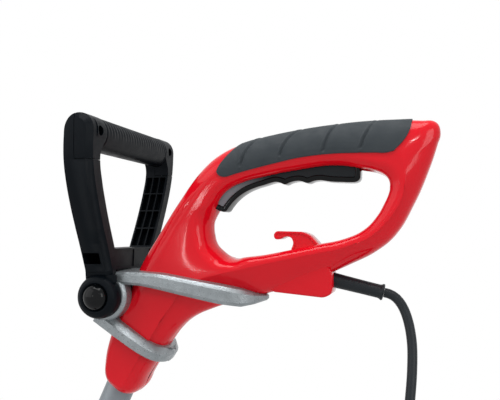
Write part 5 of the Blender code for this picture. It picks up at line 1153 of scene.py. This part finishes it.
def motor_cover(label, side):
    """Half the motor's bell-shaped cover, with its vents, seam and the collar round the tube."""
    rim, groove = COVER_RADIUS, COVER_RADIUS - 0.6
    skirt = [(rim, 62.4), (groove, 62.0), (groove, 61.2), (rim, 60.8), (rim, 57.2), (groove, 56.6),
             (0.0, 56.6)]
    shell = settle(f"motor_cover_{label}", turned(bell_line(0.0) + skirt, 96, HEAD), "red_plastic",
                   node=f"motor_housing_{label}")
    foot, top = on_shaft(FLOOR + 122.0), on_shaft(FLOOR + 206.0)
    length = (top - foot).length
    collar = [(0.0, 0.0), (20.0, 0.0)]
    for rise in (26.0, 20.5, 15.0):
        out, here = 20.0 - 3.5 * (length - rise) / length, length - rise
        collar += [(out, here), (out - 0.9, here + 0.9), (out - 0.9, here + 2.1), (out, here + 3.0)]
    collar += [(16.6, length - 1.4), (15.2, length), (0.0, length)]
    seat = [(9.9, 131.0), (12.5, 131.0), (12.5, 151.0), (9.9, 151.0)]
    carve(shell, loose("collar", turned(collar, 72, foot, SHAFT_UP)), "UNION")
    carve(shell, loose("room", turned(bell_line(2.5) + [(44.5, 46.0), (0.0, 46.0)], 96, HEAD)))
    carve(shell, loose("seat", turned(seat, 48, HEAD, closed=True)), "UNION")
    for name, radius, steps, low, reach in (("bore", 11.4, 72, 152.7, 80.0), ("cable", 3.4, 24, 141.0, 20.0)):
        carve(shell, loose(name, turned(rod(radius, 0.0, reach), steps, on_shaft(FLOOR + low), SHAFT_UP)))
    vents = [spoke((25.0, -2.0, 64.0), (60.0, 2.0, 74.0), 0.8, side * angle)
             for angle in range(18, 163, 36)]
    carve(shell, loose("vents", merged(*vents)))
    low, high = sorted((side * 0.15, side * 90.0))
    half = block((HEAD_X - 90.0, low, FLOOR + 20.0), (HEAD_X + 140.0, high, FLOOR + 260.0))
    carve(shell, loose("half", half), "INTERSECT")
    bevelled(shell, FINE_EDGE, 30.0)


for label, side in SIDES:
    motor_cover(label, side)


def ringed(name, node, profile, radius=0.6, body="trimmer_body"):
    """A turned black ring about the head's axis with softened corners."""
    ring = turned(rounded(profile, radius, 3, closed=True), 96, HEAD, closed=True)
    return settle(name, ring, "black_plastic", body, node)


def guard_screw_holes(low):
    hole = rod(1.9, 0.0, 30.0)
    return loose("screw_holes", merged(*(turned(hole, 24, round_head(angle, GUARD_SCREW_CIRCLE, low))
                                         for angle in GUARD_SCREWS)))


def add_head():
    base = ringed("motor_floor", "motor_base", [
        (44.2, BASE_TOP + 4.0), (44.2, BASE_TOP), (COVER_RADIUS, BASE_TOP), (COVER_RADIUS, BASE_BOTTOM),
        (5.0, BASE_BOTTOM),
        (5.0, BASE_TOP - 1.5), (11.4, BASE_TOP - 1.5), (11.4, BASE_TOP + 5.0), (13.9, BASE_TOP + 5.0),
        (13.9, BASE_TOP), (41.5, BASE_TOP), (41.5, BASE_TOP + 4.0)], 0.4)
    carve(base, guard_screw_holes(40.0))
    profile = rounded([(22.0, 52.0), (22.0, 49.0), (147.0, 49.0), (147.0, 20.0), (150.0, 20.0),
                       (150.0, 52.0)], 1.4, closed=True)
    bm = bmesh.new()
    start = Matrix.Rotation(radians(-GUARD_SPREAD / 2), 4, "Z")
    face = bm.faces.new([bm.verts.new(start @ Vector((radius * MM, 0.0, height * MM)))
                         for radius, height in profile])
    bmesh.ops.spin(bm, geom=[face] + face.edges[:] + face.verts[:], cent=(0.0, 0.0, 0.0), axis=UPRIGHT,
                   angle=radians(GUARD_SPREAD), steps=100, use_duplicate=False)
    capped(bm)
    bmesh.ops.translate(bm, vec=HEAD * MM, verts=bm.verts[:])
    guard = settle("cut_guard", bm, "black_plastic", node="guard")
    ribs = [spoke((54.0, -1.2, 50.5), (142.0, 1.2, 53.6), 0.5, angle) for angle in range(-66, 67, 22)]
    carve(guard, loose("ribs", merged(*ribs)), "UNION")
    carve(guard, guard_screw_holes(35.0))
    bevelled(guard, 0.4)
    housing = ringed("line_head_housing", "spool_housing", [
        (37.2, 46.0), (41.2, 42.0), (41.2, 11.7), (38.6, 11.7), (38.6, 41.4), (36.6, 43.4), (4.4, 43.4),
        (4.4, 46.0)], body="cutting_head")
    holes = [turned(rod(3.4, 25.0, 60.0), 32, at_head(0.0, 0.0, EYELET_HEIGHT), (0.0, side, 0.0))
             for _, side in SIDES]
    carve(housing, loose("eyelet_holes", merged(*holes)))
    cover = ringed("line_head_cover", "spool_cover", [
        (44.0, 24.0), (44.0, 11.2), (41.8, 9.0), (22.4, 9.0), (22.4, 11.4), (41.5, 11.4), (41.5, 24.0)],
        body="cutting_head")
    flute = [(0.0, 7.0), (3.2, 7.0), (3.2, 22.0), (2.2, 23.0), (0.0, 23.4)]
    flutes = [turned(flute, 20, round_head(360 / FLUTES * step, FLUTE_CIRCLE, 0.0)) for step in range(FLUTES)]
    carve(cover, loose("flutes", merged(*flutes)))
    bevelled(cover, 0.25)
    knob = rounded([(9.4, 20.0), (9.4, 13.0), (22.0, 13.0), (22.0, 6.0), (20.4, 2.0), (17.0, 0.0), (8.0, 0.0),
                    (6.5, 0.9), (2.0, 0.9)], 0.9)
    settle("tap_knob", turned([(0.0, 20.0)] + knob + [(0.0, 0.9)], 96, HEAD), "black_plastic", "bump",
           "bump_knob")


add_head()
coil = spring("tap_knob_spring", "knob_spring", at_head(0.0, 0.0, 20.3), 22.8, 8.3, 0.5, "cutting_head")
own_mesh(coil)


# Floor and light

def chosen(tree, share, gathered, seen, output):
    """Show one shader to gathered light and the other to the rays that a share picks."""
    mix = add_node(tree, "MixShader", {"Fac": share, 1: gathered, 2: seen})
    feed(tree, tree.nodes[output], {"Surface": mix.outputs["Shader"]})


def floor_finish():
    """Pale studio paint that keeps the shadow and stays near white to the camera and in gloss."""
    made = bpy.data.materials.new("floor_paint")
    made.use_nodes = True
    tree = made.node_tree
    paint = feed(tree, tree.nodes["Principled BSDF"],
                 {"Base Color": (0.82, 0.82, 0.82, 1.0), "Roughness": 0.8})
    white = add_node(tree, "Emission")
    place = add_node(tree, "TexCoord").outputs["Object"]
    reach = add_node(tree, "VectorMath", {0: place}, operation="LENGTH").outputs["Value"]
    fade = add_node(tree, "MapRange", {"Value": reach, "From Min": 1.2, "From Max": 2.4, "To Min": 0.7,
                                       "To Max": 1.0}).outputs["Result"]
    share = add_node(tree, "Math", {0: seen_rays(tree), 1: fade}, operation="MULTIPLY").outputs["Value"]
    chosen(tree, share, paint.outputs["BSDF"], white.outputs["Emission"], "Material Output")
    return made


def seen_rays(tree):
    """1 where the camera, a gloss or a clear piece looks, 0 where light is gathered."""
    path = add_node(tree, "LightPath")
    total = path.outputs["Is Camera Ray"]
    for name in ("Is Glossy Ray", "Is Transmission Ray"):
        larger = add_node(tree, "Math", {0: total, 1: path.outputs[name]}, operation="MAXIMUM")
        total = larger.outputs["Value"]
    return total


def add_floor():
    bm = bmesh.new()
    bmesh.ops.create_grid(bm, x_segments=2, y_segments=2, size=4.0)
    bmesh.ops.translate(bm, vec=(0.0, 0.0, cad_box[0][2] - 0.001), verts=bm.verts[:])
    floor = put("studio_floor", as_mesh("studio_floor", bm))
    floor.data.materials.append(floor_finish())


add_floor()

MIDDLE = (-0.05, 0.0, -0.05)
# name, place, target, size, power in watts
LIGHTS = [
    ("softbox_top", (-0.1, -0.3, 1.3), MIDDLE, (1.2, 0.9), 17.0),
    ("softbox_left", (-1.2, -0.9, 0.5), MIDDLE, (1.3, 1.3), 5.5),
    ("softbox_small", (-0.42, -0.955, 0.022), (-0.083, -0.018, -0.08), (0.035, 0.05), 0.13),
    ("softbox_corner", (0.495, -1.015, 0.51), (0.0, -0.01, -0.03), (0.10, 0.04), 0.6),
    ("softbox_right", (1.2, -0.9, 0.4), MIDDLE, (0.6, 0.8), 6.0),
]
for name, place, target, size, power in LIGHTS:
    data = bpy.data.lights.new(name, "AREA")
    data.shape = "RECTANGLE"
    data.size, data.size_y = size
    data.energy = power
    aim = (Vector(target) - Vector(place)).to_track_quat("-Z", "Y")
    put(name, data).matrix_world = Matrix.Translation(Vector(place)) @ aim.to_matrix().to_4x4()


def add_world():
    world = bpy.data.worlds.new("studio")
    scene.world = world
    world.use_nodes = True
    tree = world.node_tree
    ground = feed(tree, tree.nodes["Background"], {"Color": (0.42, 0.43, 0.44, 1.0)})
    white = add_node(tree, "Background", {"Color": (1.0, 1.0, 1.0, 1.0)})
    chosen(tree, seen_rays(tree), ground.outputs["Background"], white.outputs["Background"], "World Output")


add_world()
